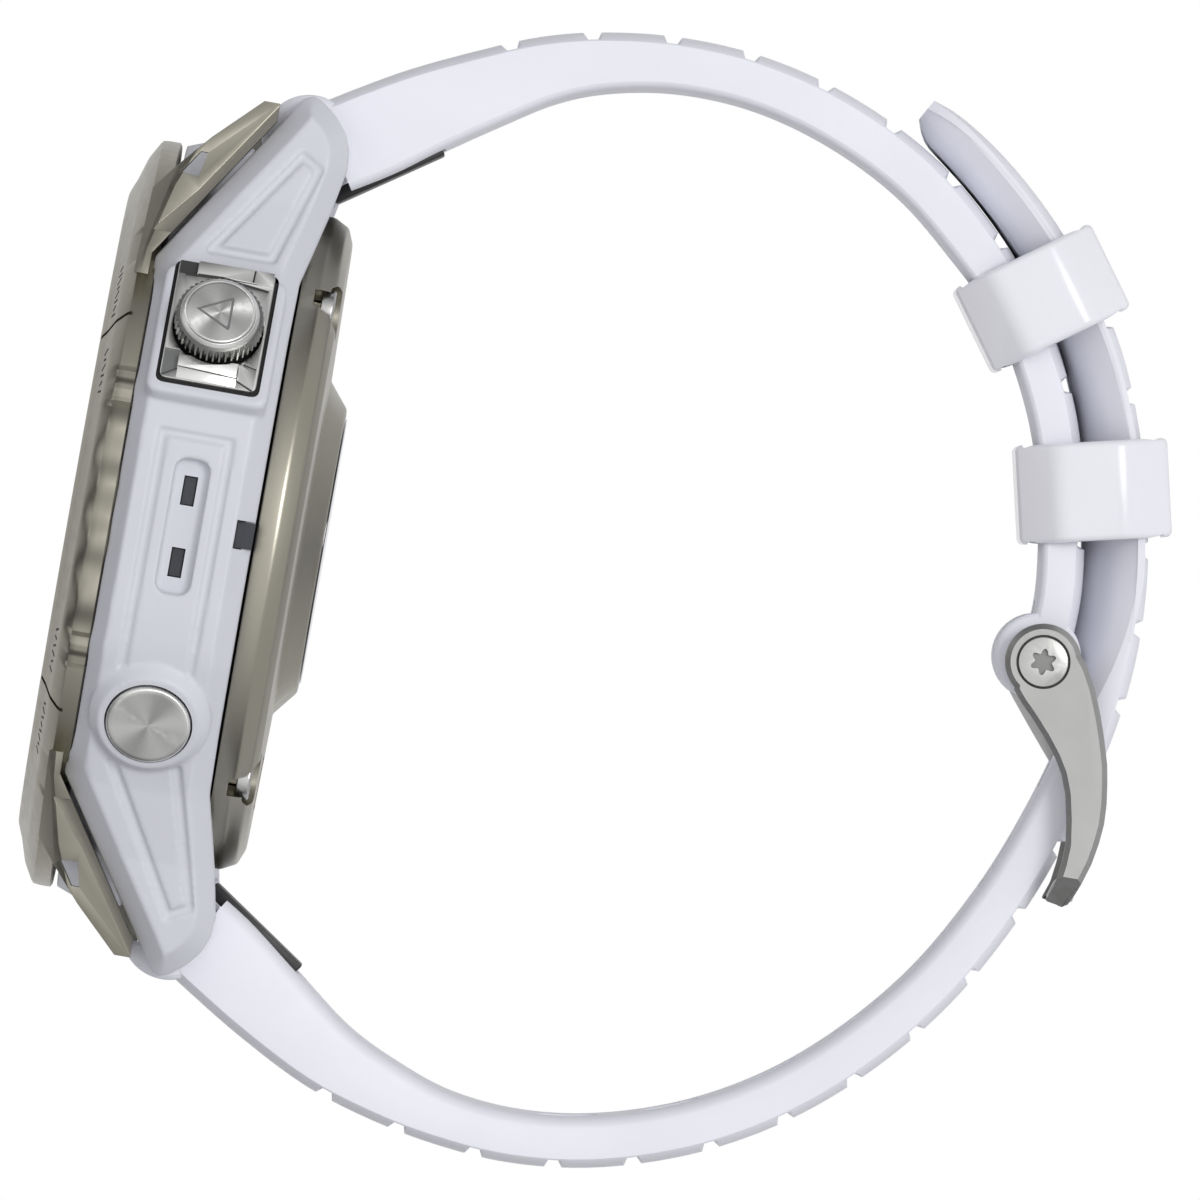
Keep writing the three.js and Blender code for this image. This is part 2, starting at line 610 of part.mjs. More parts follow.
// A block centred on a strap point: half sizes across X, along the strap and through it.
function blockOnStrap(point, halfX, halfAlong, halfThrough, lift = 0) {
  const geometry = new THREE.BoxGeometry(2 * halfX, 2 * halfAlong, 2 * halfThrough);
  geometry.rotateX(Math.atan2(point.dz, point.dy));
  geometry.translate(0, point.y + point.dz * lift, point.z - point.dy * lift);
  return toSolid(geometry);
}

const LATCH = { half_x: 4.0, pocket: 0.8, proud: 0.3, gap: 0.15 };

// The quick-release lever lies in a pocket in the wrist side of the strap's root.
function latchPoints(side) {
  const top = [side * 19.45, 2.15];
  const low = [side * 23.1, -2.65];
  const length = Math.hypot(low[0] - top[0], low[1] - top[1]);
  const d = [(low[0] - top[0]) / length, (low[1] - top[1]) / length];
  const out = [side * d[1], side * -d[0]];
  return { top, low, d, out };
}

function latchBlock(side, grow, into, proud, startTrim) {
  const { top, low, d, out } = latchPoints(side);
  const a = [top[0] + d[0] * (startTrim - grow), top[1] + d[1] * (startTrim - grow)];
  const b = [low[0] + d[0] * grow, low[1] + d[1] * grow];
  const raised = ([y, z], by) => [y + out[0] * by, z + out[1] * by];
  const quad = [raised(a, proud), raised(b, proud), raised(b, -into), raised(a, -into)];
  const w = LATCH.half_x + grow;
  return prismXAny(quad, -w, w);
}

// prismX for an outline given in either turning sense.
function prismXAny(points, low, high) {
  let area = 0;
  points.forEach(([y, z], i) => {
    const [y2, z2] = points[(i + 1) % points.length];
    area += y * z2 - y2 * z;
  });
  return prismX(area > 0 ? points : [...points].reverse(), low, high);
}

function addBand() {
  const half = STRAP_ROOT_WIDTH / 2;
  let strap12 = strapBody(STRAP_12_LINE, taper(STRAP_END_WIDTH, 0.75), STRAP_12_STEPS);
  strap12 = strap12.add(barX(LUG_PIN.y, LUG_PIN.z, KNUCKLE_R, -half, half, MEDIUM_ROUND));
  const endHalf = STRAP_END_WIDTH / 2;
  const { y: barrelY, z: barrelZ, r: barrelR } = STRAP_BARREL;
  strap12 = strap12.add(barX(barrelY, barrelZ, barrelR, -endHalf, endHalf, MEDIUM_ROUND));
  strap12 = strap12.subtract(barX(LUG_PIN.y, LUG_PIN.z, LUG_PIN.r + 0.1, -half - 1, half + 1));
  strap12 = strap12.subtract(barX(BUCKLE_PIN.y, BUCKLE_PIN.z, BUCKLE_PIN.r + 0.08, -15, 15));
  const gap = TONGUE_WIDTH / 2 + 0.4;
  strap12 = strap12.subtract(block(-gap, gap, -3, 4.2, -44, -37));
  strap12 = strap12.subtract(latchBlock(1, LATCH.gap, LATCH.pocket + LATCH.gap, 4, -1.4));
  addNode('strap_12', strap12, WHITE_SILICONE);

  let strap6 = strapBody(STRAP_6_LINE, taper(STRAP_END_WIDTH, 0.45), STRAP_6_STEPS);
  strap6 = strap6.add(barX(-LUG_PIN.y, LUG_PIN.z, KNUCKLE_R, -half, half, MEDIUM_ROUND));
  strap6 = strap6.subtract(barX(-LUG_PIN.y, LUG_PIN.z, LUG_PIN.r + 0.15, -half - 1, half + 1));
  const hookHalf = LUG_PIN.r + 0.15;
  strap6 = strap6.subtract(block(-half - 1, half + 1, -LUG_PIN.y - hookHalf, -LUG_PIN.y + hookHalf,
    LUG_PIN.z, LUG_PIN.z + 5));
  for (const point of adjustmentHoles()) {
    strap6 = strap6.subtract(blockOnStrap(point, HOLE_WIDTH / 2, HOLE_LENGTH / 2, 3));
  }
  const { half_along: along, half_through: through } = TONGUE_CHANNEL;
  strap6 = strap6.subtract(blockOnStrap(TONGUE_CHANNEL, HOLE_WIDTH / 2, along, through));
  strap6 = strap6.subtract(latchBlock(-1, LATCH.gap, LATCH.pocket + LATCH.gap, 4, -1.4));
  addNode('strap_6', strap6, WHITE_SILICONE);

  addNode('latch_12', latchBlock(1, 0, LATCH.pocket, LATCH.proud, 0), DARK_PLASTIC);
  addNode('latch_6', latchBlock(-1, 0, LATCH.pocket, LATCH.proud, 0), DARK_PLASTIC);
}

// Holes at a steady pitch along the strap, one of them where the tongue goes through.
function adjustmentHoles() {
  const start = TONGUE_HOLE_T;
  const points = [];
  const steps = 600;
  for (const way of [1, -1]) {
    let travelled = 0;
    let last = strapPoint(STRAP_6_LINE, start);
    let count = 0;
    const most = way > 0 ? 4 : 6;
    for (let i = 1; i < steps && count < most; i += 1) {
      const next = strapPoint(STRAP_6_LINE, start + (way * i) / steps);
      travelled += Math.hypot(next.y - last.y, next.z - last.z);
      last = next;
      if (travelled >= HOLE_PITCH) {
        points.push(next);
        travelled = 0;
        count += 1;
      }
    }
  }
  return points;
}

const TONGUE_HOLE_T = 0.546;

// ---- buckle -------------------------------------------------------------

const ARM_OUTLINE = [
  [1.9, -42.1], [1.0, -42.8], [-0.1, -43.4], [-1.45, -43.95], [-2.75, -44.4], [-4.1, -44.8], [-5.2, -45.0],
  [-6.3, -45.15], [-7.4, -45.2], [-8.5, -45.1], [-9.65, -44.95], [-10.8, -44.7], [-11.75, -44.4],
  [-12.35, -44.1], [-12.5, -43.8], [-12.4, -43.35], [-12.15, -43.05], [-11.1, -43.25], [-9.95, -43.3],
  [-8.85, -43.3], [-7.5, -43.1], [-6.1, -42.8], [-5.05, -42.4], [-4.15, -41.85], [-3.2, -41.1],
  [-2.25, -40.25], [-1.5, -39.5], [-0.9, -39.0], [0.9, -38.9]];
const CROSSBAR = { y: -11.55, z: -43.85, r: 0.75 };
// The crossbar is flattened on its outside to seat the tongue's tip.
const CROSSBAR_SEAT = { half_width: 2.0, z: -43.55 };
const TONGUE_OUTLINE = [
  [0.9, -38.2], [-0.35, -38.5], [-1.05, -38.9], [-2.65, -40.2], [-3.9, -41.25], [-4.9, -42.1],
  [-6.2, -43.1], [-7.4, -43.75], [-8.6, -43.95], [-10.3, -43.97], [-12.0, -43.95], [-12.0, -44.35],
  [-10.3, -44.45], [-8.5, -44.5], [-7.1, -44.35], [-5.6, -43.8], [-4.3, -42.8], [-3.1, -41.75],
  [-1.6, -40.55], [-0.4, -39.9]];
const TONGUE_RING_R = 2.1;
// The heads of the buckle's screws sit in round pockets in the arms' hubs.
const BUCKLE_SCREW = { r: 1.38, thick: 0.6, proud: 0.05, pocket_r: 1.5, recess_r: 0.7, recess: 0.2 };
const TONGUE_CHANNEL = {
  y: -6.05, z: -43.35, dy: -0.72, dz: -0.69, half_along: 3.4, half_through: 1.1,
};

function addBuckle() {
  const outline = ARM_OUTLINE;
  let frame = prismXAny(outline, FRAME_INNER_X, FRAME_OUTER_X)
    .add(prismXAny(outline, -FRAME_OUTER_X, -FRAME_INNER_X));
  for (const side of [1, -1]) {
    const [low, high] = side > 0 ? [FRAME_INNER_X, FRAME_OUTER_X] : [-FRAME_OUTER_X, -FRAME_INNER_X];
    frame = frame.add(barX(BUCKLE_PIN.y, BUCKLE_PIN.z, BUCKLE_HUB_R, low, high, MEDIUM_ROUND));
    const floor = FRAME_OUTER_X - BUCKLE_SCREW.thick;
    const [a, b] = side > 0 ? [floor, 14] : [-14, -floor];
    frame = frame.subtract(barX(BUCKLE_PIN.y, BUCKLE_PIN.z, BUCKLE_SCREW.pocket_r, a, b, MEDIUM_ROUND));
  }
  const barHalf = FRAME_INNER_X + 0.5;
  frame = frame.add(barX(CROSSBAR.y, CROSSBAR.z, CROSSBAR.r, -barHalf, barHalf));
  const seatHalf = CROSSBAR_SEAT.half_width;
  frame = frame.subtract(block(-seatHalf, seatHalf, CROSSBAR.y - 1, CROSSBAR.y + 1, -46, CROSSBAR_SEAT.z));
  frame = frame.subtract(barX(BUCKLE_PIN.y, BUCKLE_PIN.z, BUCKLE_PIN.r + 0.08, -15, 15));
  addNode('buckle_frame', frame, STEEL);

  let tongue = prismXAny(TONGUE_OUTLINE, -TONGUE_WIDTH / 2, TONGUE_WIDTH / 2);
  const tongueHalf = TONGUE_WIDTH / 2;
  tongue = tongue
    .add(barX(BUCKLE_PIN.y, BUCKLE_PIN.z, TONGUE_RING_R, -tongueHalf, tongueHalf, MEDIUM_ROUND));
  tongue = tongue.subtract(barX(BUCKLE_PIN.y, BUCKLE_PIN.z, BUCKLE_PIN.r + 0.08, -5, 5));
  addNode('buckle_tongue', tongue, STEEL);

  const pinHalf = FRAME_OUTER_X - 0.7;
  addNode('buckle_bar', barX(BUCKLE_PIN.y, BUCKLE_PIN.z, BUCKLE_PIN.r, -pinHalf, pinHalf), STEEL);
  for (const side of [1, -1]) {
    const outer = FRAME_OUTER_X + BUCKLE_SCREW.proud;
    const inner = outer - BUCKLE_SCREW.thick;
    const [low, high] = side > 0 ? [inner, outer] : [-outer, -inner];
    let screw = barX(BUCKLE_PIN.y, BUCKLE_PIN.z, BUCKLE_SCREW.r, low, high, MEDIUM_ROUND);
    const floor = FRAME_OUTER_X - BUCKLE_SCREW.recess;
    const [a, b] = side > 0 ? [floor, 14] : [-14, -floor];
    screw = screw.subtract(barX(BUCKLE_PIN.y, BUCKLE_PIN.z, BUCKLE_SCREW.recess_r, a, b, 6));
    addNode(side > 0 ? 'buckle_screw_right' : 'buckle_screw_left', screw, STEEL);
  }
}

const KEEPERS = [
  { name: 'keeper_upper', y: 20.75, z: -36.81, dy: -0.809, dz: -0.588, through: 8.4, along: 5.2 },
  { name: 'keeper_lower', y: 10.7, z: -41.46, dy: -0.974, dz: -0.225, through: 8.45, along: 5.5 },
];

function addKeepers() {
  for (const keeper of KEEPERS) {
    const outerHalf = KEEPER_WINDOW_WIDTH / 2 + KEEPER_WALL;
    const [a, t] = [keeper.along / 2, keeper.through / 2];
    let loop = blockOnStrap(keeper, outerHalf, a, t);
    loop = loop.subtract(blockOnStrap(keeper, KEEPER_WINDOW_WIDTH / 2, a + 1, t - KEEPER_WALL));
    addNode(keeper.name, loop, WHITE_GLOSS);
  }
}

// ---- pins ---------------------------------------------------------------

function addLugPins() {
  for (const side of [1, -1]) {
    addNode(side > 0 ? 'lug_pin_12' : 'lug_pin_6',
      barX(side * LUG_PIN.y, LUG_PIN.z, LUG_PIN.r, -LUG_PIN.half, LUG_PIN.half), STEEL);
  }
}

addNode('case_body', makeCase(), WHITE_POLYMER);
addPorts();
addNode('bezel', makeBezel(), TITANIUM);
addDisplay();
addInside();
addRear();
addButtons();
addLugPins();
addBand();
addBuckle();
addKeepers();

export default watch;
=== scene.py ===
"""Looks for a GPS running watch in a white case, with a titanium bezel and a white band.

Every shape is worked out in millimetres in the CAD frame (+Z out of the dial, +Y to 12 o'clock,
+X to 3 o'clock) and is scaled to metres when its piece is finished.
"""

import math

import bmesh
import bpy
import numpy as np
from mathutils import Matrix, Vector


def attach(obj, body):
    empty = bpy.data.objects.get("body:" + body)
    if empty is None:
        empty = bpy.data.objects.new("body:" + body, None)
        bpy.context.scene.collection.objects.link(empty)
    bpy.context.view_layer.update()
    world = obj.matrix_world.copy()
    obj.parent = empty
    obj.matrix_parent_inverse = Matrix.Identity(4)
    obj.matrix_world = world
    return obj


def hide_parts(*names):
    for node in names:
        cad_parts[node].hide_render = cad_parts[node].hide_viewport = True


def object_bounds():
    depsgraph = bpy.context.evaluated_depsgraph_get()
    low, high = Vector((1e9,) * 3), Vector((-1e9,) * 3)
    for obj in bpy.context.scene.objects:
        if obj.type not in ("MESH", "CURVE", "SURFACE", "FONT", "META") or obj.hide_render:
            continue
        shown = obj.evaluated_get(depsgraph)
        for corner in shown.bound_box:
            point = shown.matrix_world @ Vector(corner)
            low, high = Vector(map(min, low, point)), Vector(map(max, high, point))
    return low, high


MM = 0.001
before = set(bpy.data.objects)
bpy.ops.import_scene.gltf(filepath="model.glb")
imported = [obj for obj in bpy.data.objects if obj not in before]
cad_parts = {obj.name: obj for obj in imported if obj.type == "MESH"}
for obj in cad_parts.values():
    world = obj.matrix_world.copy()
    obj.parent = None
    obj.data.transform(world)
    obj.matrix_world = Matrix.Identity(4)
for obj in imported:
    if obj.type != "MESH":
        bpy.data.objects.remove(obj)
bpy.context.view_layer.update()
SCENE = bpy.context.scene


def linked(name, data):
    """A new object in the scene."""
    obj = bpy.data.objects.new(name, data)
    SCENE.collection.objects.link(obj)
    return obj


# ---- camera ----

# The watch lies on its side, turned 10 degrees, and is seen square on from 3 o'clock.
TURN = math.radians(10)
VIEW_CENTRE = Vector((0, 0.016, -15.58)) * MM
CAMERA_AT = 2.1
SEEN_WIDTH = 66.3 * MM
NEAR_SIDE = 0.014
SENSOR = 36.0

camera = linked("camera", bpy.data.cameras.new("camera"))
camera.data.sensor_width = SENSOR
camera.data.lens = SENSOR * (CAMERA_AT - NEAR_SIDE) / SEEN_WIDTH
right = Vector((0, math.sin(TURN), -math.cos(TURN)))
up = Vector((0, math.cos(TURN), math.sin(TURN)))
back = right.cross(up)
turn = Matrix((right, up, back)).transposed().to_4x4()
camera.matrix_world = Matrix.Translation(VIEW_CENTRE + back * CAMERA_AT) @ turn
camera.data.clip_start = 0.05
camera.data.clip_end = 20
SCENE.camera = camera
SCENE.view_settings.view_transform = "Standard"

# ---- mesh helpers ----


MERGE_DISTANCE = 1e-5


def made(vertices, faces, name="work"):
    """A mesh object with its normals facing outwards."""
    mesh = bpy.data.meshes.new(name)
    mesh.from_pydata([tuple(v) for v in vertices], [], [tuple(f) for f in faces])
    work = bmesh.new()
    work.from_mesh(mesh)
    bmesh.ops.remove_doubles(work, verts=work.verts, dist=MERGE_DISTANCE)
    bmesh.ops.recalc_face_normals(work, faces=work.faces)
    work.to_mesh(mesh)
    work.free()
    return linked(name, mesh)


def skin(rings, closed=False):
    """A mesh over rings of points, either closed on itself or with both its ends capped."""
    n = len(rings[0])
    total = n * len(rings)
    faces = [] if closed else [range(n), range(total - n, total)]
    for here in range(0, total if closed else total - n, n):
        there = (here + n) % total
        faces += [(here + i, there + i, there + (i + 1) % n, here + (i + 1) % n) for i in range(n)]
    return made([point for ring in rings for point in ring], faces)


def level(points, at, axis):
    """An outline in Y-Z stood at a place along X, or an outline in X-Y stood along Z."""
    return [(at, *p) if axis == "X" else (*p, at) for p in points]


def prism(points, low, high, axis="X"):
    return skin([level(points, low, axis), level(points, high, axis)])


def inset(points, width):
    """The outline moved inwards by a width. The points go anticlockwise."""
    out = []
    for k, (x, y) in enumerate(points):
        before, after = points[k - 1], points[(k + 1) % len(points)]
        first = Vector((x - before[0], y - before[1])).normalized()
        second = Vector((after[0] - x, after[1] - y)).normalized()
        inward = Vector((-first.y - second.y, first.x + second.x)).normalized()
        reach = width / max(0.5, inward.dot(Vector((-first.y, first.x))))
        out.append((x + inward.x * reach, y + inward.y * reach))
    return out


def chamfered(points, low, high, width, steps=1, axis="X"):
    """A prism along X or Z whose two ends are chamfered, or rounded where there are more steps."""
    end = []
    for k in range(steps + 1):
        turn = math.pi / 2 * k / steps
        end.append((width * (1 - math.cos(turn)), inset(points, width * (1 - math.sin(turn)))))
    rings = [level(outline, low + at, axis) for at, outline in end]
    return skin(rings + [level(outline, high - at, axis) for at, outline in end[::-1]])


def turns(count):
    return [2 * math.pi * k / count for k in range(count)]


def polar(r, angle):
    return r * math.cos(angle), r * math.sin(angle)


def circle(r, at, segments):
    return [(at[0] + x, at[1] + y) for x, y in (polar(r, a) for a in turns(segments))]


def rectangle(x0, x1, y0, y1):
    return [(x0, y0), (x1, y0), (x1, y1), (x0, y1)]


def bar(y, z, r, low, high, segments=64):
    return prism(circle(r, (y, z), segments), low, high)


def disc(x, y, r, low, high, segments=64):
    return prism(circle(r, (x, y), segments), low, high, "Z")


def block(x0, x1, y0, y1, z0, z1):
    return prism(rectangle(y0, y1, z0, z1), x0, x1)


def lathe(profile, segments=160):
    """A closed profile of (radius, z) turned about the Z axis."""
    return skin([[(*polar(r, a), z) for r, z in profile] for a in turns(segments)], closed=True)


def rounded(points, radius, steps=3):
    """A closed outline with its corners rounded, apart from those on the axis of a lathe."""
    out = []
    for i, point in enumerate(points):
        p = Vector(point)
        before = Vector(points[i - 1]) - p
        after = Vector(points[(i + 1) % len(points)]) - p
        if abs(p.x) < 1e-6:
            out.append(tuple(p))
            continue
        reach = min(radius, 0.45 * before.length, 0.45 * after.length)
        start = p + before.normalized() * reach
        end = p + after.normalized() * reach
        for k in range(steps + 1):
            t = k / steps
            out.append(tuple(start.lerp(p, t).lerp(p.lerp(end, t), t)))
    return out


def settle(obj):
    """Turns an object's modifiers into its mesh."""
    graph = bpy.context.evaluated_depsgraph_get()
    mesh = bpy.data.meshes.new_from_object(obj.evaluated_get(graph))
    obj.modifiers.clear()
    old = obj.data
    obj.data = mesh
    bpy.data.meshes.remove(old)
    return obj


def combine(obj, operation, tools):
    for tool in tools:
        step = obj.modifiers.new("combine", "BOOLEAN")
        step.operation = operation
        step.solver = "MANIFOLD"
        step.object = tool
    settle(obj)
    for tool in tools:
        bpy.data.objects.remove(tool)
    return obj


def cut(obj, *tools):
    return combine(obj, "DIFFERENCE", tools)


def join(obj, *tools):
    return combine(obj, "UNION", tools)


def keep(obj, *tools):
    return combine(obj, "INTERSECT", tools)


def bevel(obj, width, segments=2, angle=28):
    step = obj.modifiers.new("bevel", "BEVEL")
    step.width = width
    step.segments = segments
    step.limit_method = "ANGLE"
    step.angle_limit = math.radians(angle)
    step.use_clamp_overlap = True
    step.miter_outer = "MITER_ARC"
    return settle(obj)


def soften(obj, voxel, smooth):
    """Rebuilds the mesh finely and rounds its edges over, as a moulded part's are."""
    step = obj.modifiers.new("remesh", "REMESH")
    step.mode = "VOXEL"
    step.voxel_size = voxel
    settle(obj)
    step = obj.modifiers.new("smooth", "SMOOTH")
    step.factor = 0.5
    step.iterations = smooth
    return settle(obj)


def shaved(obj, point, normal):
    """Removes what lies beyond a plane."""
    work = bmesh.new()
    work.from_mesh(obj.data)
    geometry = list(work.verts) + list(work.edges) + list(work.faces)
    cutting = bmesh.ops.bisect_plane(work, geom=geometry, plane_co=point, plane_no=normal,
                                     clear_outer=True)
    rim = [e for e in cutting["geom_cut"] if isinstance(e, bmesh.types.BMEdge)]
    bmesh.ops.edgenet_fill(work, edges=rim)
    bmesh.ops.recalc_face_normals(work, faces=work.faces)
    work.to_mesh(obj.data)
    work.free()
    return obj


def mirrored(obj, sx, sy):
    """A copy of the object mirrored in the planes X=0 and Y=0."""
    copy = linked("work", obj.data.copy())
    copy.data.transform(Matrix.Diagonal((sx, sy, 1, 1)))
    if sx * sy < 0:
        copy.data.flip_normals()
    return copy


def turned(obj, matrix):
    obj.data.transform(matrix)
    return obj


def about_z(obj, degrees):
    return turned(obj, Matrix.Rotation(math.radians(degrees), 4, "Z"))


def merged(objects):
    """Several loose objects as one."""
    with bpy.context.temp_override(active_object=objects[0], selected_editable_objects=objects):
        bpy.ops.object.join()
    return objects[0]


MATERIALS = {}


def dress(obj, look):
    obj.data.materials.clear()
    obj.data.materials.append(MATERIALS[look])


def piece(obj, name, body, slot, nodes=(), angle=30, at=None, look=None):
    """Finishes a piece: its name, size in metres, shading, material, and what it rides on and replaces.
    look names a material of this script that the record has no slot for."""
    obj.name = name
    obj.data.name = name
    obj.data.transform(Matrix.Scale(MM, 4))
    obj.data.shade_smooth()
    obj.data.set_sharp_from_angle(angle=math.radians(angle))
    dress(obj, look or slot)
    if at is not None:
        obj.matrix_world = at
    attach(obj, body)
    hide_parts(*nodes)


# ---- materials ----


def connect(tree, node, **inputs):
    """Sets inputs of a node, each to a constant or to another node's output."""
    for name, value in inputs.items():
        socket = node.inputs[name.replace("_", " ")]
        if isinstance(value, bpy.types.NodeSocket):
            tree.links.new(value, socket)
        elif socket.type == "RGBA":
            socket.default_value = (*value, 1)
        else:
            socket.default_value = value
    return node


def add(tree, kind, **inputs):
    return connect(tree, tree.nodes.new(kind), **inputs)


def shader(name, **settings):
    """A new material's tree and its Principled shader, whose constants are set on its own sockets."""
    material = bpy.data.materials.new(name)
    material.use_nodes = True
    MATERIALS[name] = material
    tree = material.node_tree
    return tree, connect(tree, tree.nodes["Principled BSDF"], **settings)


def noise(tree, scale, detail, stretch=(1, 1, 1)):
    """Noise in the object's own coordinates. The scale is in cycles per millimetre."""
    place = add(tree, "ShaderNodeTexCoord").outputs["Object"]
    mapping = add(tree, "ShaderNodeMapping", Vector=place, Scale=[s / MM for s in stretch])
    texture = add(tree, "ShaderNodeTexNoise", Vector=mapping.outputs["Vector"], Scale=scale,
                  Detail=detail, Roughness=0.55)
    return texture.outputs["Fac"]


def ranged(tree, value, low, high, start=0.3, end=0.7):
    node = add(tree, "ShaderNodeMapRange", Value=value, From_Min=start, From_Max=end,
               To_Min=low, To_Max=high)
    return node.outputs["Result"]


def mixed(tree, share, first, second):
    node = tree.nodes.new("ShaderNodeMix")
    node.data_type = "RGBA"
    return connect(tree, node, Factor=share, A=first, B=second).outputs["Result"]


def finish(tree, node, colour, gloss, height, depth_mm):
    """Connects a shader's colour, its roughness and its grain."""
    bump = add(tree, "ShaderNodeBump", Strength=1.0, Distance=depth_mm * MM, Height=height)
    connect(tree, node, Base_Color=colour, Roughness=gloss, Normal=bump.outputs["Normal"])


def moulded(name, colour, roughness, grain, depth, shade=0.04, **settings):
    """Moulded plastic or rubber: a fine grain, and slightly uneven tone and gloss."""
    tree, node = shader(name, **settings)
    tone = ranged(tree, noise(tree, 0.12, 2), 0, 1)
    base = mixed(tree, tone, [c * (1 - shade) for c in colour], colour)
    gloss = ranged(tree, noise(tree, 0.7, 4), roughness - 0.05, roughness + 0.05)
    finish(tree, node, base, gloss, noise(tree, grain, 3), depth)


def metal(name, colour, roughness, stretch=(1, 1, 1), grain=4.0, depth=0.0005):
    """Bead-blasted or brushed metal: fine grain, worn lighter on its edges."""
    tree, node = shader(name, Metallic=1.0)
    tone = ranged(tree, noise(tree, 0.35, 4, stretch), 0, 1)
    base = mixed(tree, tone, [c * 0.93 for c in colour], colour)
    edges = add(tree, "ShaderNodeNewGeometry").outputs["Pointiness"]
    worn = ranged(tree, edges, 0, 0.5, 0.53, 0.62)
    base = mixed(tree, worn, base, [min(1, c * 1.35) for c in colour])
    gloss = ranged(tree, noise(tree, 1.6, 3, stretch), roughness - 0.03, roughness + 0.05)
    finish(tree, node, base, gloss, noise(tree, grain, 1, stretch), depth)


# How many light and dark sectors are painted round a brushed face: painted reflection.
SHEEN_SECTORS = 4


def brushed_round_with_sheen(name, colour, roughness):
    """A face brushed round its own Z axis, with light and dark sectors painted into its colour as a painted
    reflection.
    """
    tree, node = shader(name, Metallic=1.0, Anisotropic=0.9)
    tangent = add(tree, "ShaderNodeTangent")
    tangent.direction_type = "RADIAL"
    tangent.axis = "Z"
    connect(tree, node, Tangent=tangent.outputs["Tangent"])
    gradient = add(tree, "ShaderNodeTexGradient", Vector=add(tree, "ShaderNodeTexCoord").outputs["Object"])
    gradient.gradient_type = "RADIAL"
    wave = add(tree, "ShaderNodeMath")
    wave.operation = "MULTIPLY"
    wave.inputs[1].default_value = 2 * math.pi * SHEEN_SECTORS
    tree.links.new(gradient.outputs["Fac"], wave.inputs[0])
    sine = add(tree, "ShaderNodeMath")
    sine.operation = "SINE"
    tree.links.new(wave.outputs[0], sine.inputs[0])
    share = ranged(tree, sine.outputs[0], 0, 1, -0.9, 0.9)
    # Painted reflection: the colour darkens and lightens in turn round the axis.
    sectors = mixed(tree, share, [c * 0.72 for c in colour], colour)
    gloss = ranged(tree, noise(tree, 3.0, 3), roughness - 0.05, roughness + 0.08)
    finish(tree, node, sectors, gloss, noise(tree, 5.0, 1), 0.0004)


moulded("white_polymer", (0.68, 0.69, 0.74), 0.46, 6.0, 0.0035, Specular_IOR_Level=0.45,
        Subsurface_Weight=0.05, Subsurface_Radius=(0.0006, 0.0006, 0.0007))
moulded("white_silicone", (0.87, 0.875, 0.94), 0.5, 8.0, 0.003, Specular_IOR_Level=0.4,
        Subsurface_Weight=0.06, Subsurface_Radius=(0.0007, 0.0007, 0.0008), Sheen_Weight=0.04)
moulded("gloss_white", (0.87, 0.87, 0.92), 0.17, 2.0, 0.0015, 0.02, Coat_Weight=0.6, Coat_Roughness=0.06)
moulded("lens_glass", (0.6, 0.61, 0.63), 0.06, 0.6, 0.0006, 0.1, Coat_Weight=1.0, Coat_Roughness=0.02,
        Transmission_Weight=1.0, IOR=1.5)
moulded("sensor_glass", (0.01, 0.01, 0.012), 0.08, 0.8, 0.0006, 0.3, Coat_Weight=1.0, Coat_Roughness=0.03)
moulded("dial_mark", (0.62, 0.64, 0.66), 0.45, 8.0, 0.002, 0.05, Emission_Color=(0.8, 0.86, 0.9),
        Emission_Strength=0.6)
moulded("display_black", (0.006, 0.006, 0.008), 0.22, 3.0, 0.0006, 0.3)
moulded("dial_ring_plastic", (0.02, 0.021, 0.024), 0.5, 6.0, 0.004, 0.2)
moulded("dark_plastic", (0.028, 0.03, 0.035), 0.5, 6.0, 0.005, 0.2)
moulded("latch_plastic", (0.012, 0.012, 0.014), 0.42, 6.0, 0.004, 0.2)
moulded("port_mesh", (0.045, 0.048, 0.058), 0.6, 9.0, 0.02, 0.3)
moulded("black_rubber", (0.012, 0.012, 0.013), 0.75, 8.0, 0.006, 0.2)
moulded("circuit_board", (0.01, 0.075, 0.035), 0.4, 1.4, 0.02, 0.5)
# The second of these greys darkens the floor of the buckle screws' drive recesses: painted shade.
for mark_name, mark_colour, mark_roughness in [
        ("recess_grey", (0.2, 0.21, 0.205), 0.5), ("drive_shade_grey", (0.33, 0.33, 0.32), 0.5),
        ("groove_shade", (0.045, 0.047, 0.044), 0.55), ("engraving", (0.02, 0.019, 0.016), 0.6)]:
    moulded(mark_name, mark_colour, mark_roughness, 8.0, 0.003, 0.2)
metal("bezel_titanium", (0.4, 0.382, 0.315), 0.32)
metal("cover_titanium", (0.42, 0.402, 0.333), 0.32, (0.06, 0.06, 1), 7.0, 0.001)
metal("steel", (0.6, 0.6, 0.58), 0.26)
metal("button_steel", (0.68, 0.68, 0.66), 0.3)
metal("buckle_steel", (0.43, 0.43, 0.418), 0.38)
# The knurled skirt's steel is a darker copy of the button steel: painted shade between and under the teeth.
metal("knurl_shade_steel", (0.26, 0.26, 0.25), 0.3)
metal("battery_foil", (0.55, 0.56, 0.58), 0.35, grain=1.5, depth=0.004)
metal("gold_plate", (0.78, 0.55, 0.22), 0.28)
# The button faces: brushed, with painted sector reflections in their colour.
brushed_round_with_sheen("brushed_sheen_face", (0.92, 0.92, 0.89), 0.32)

# ---- case ----

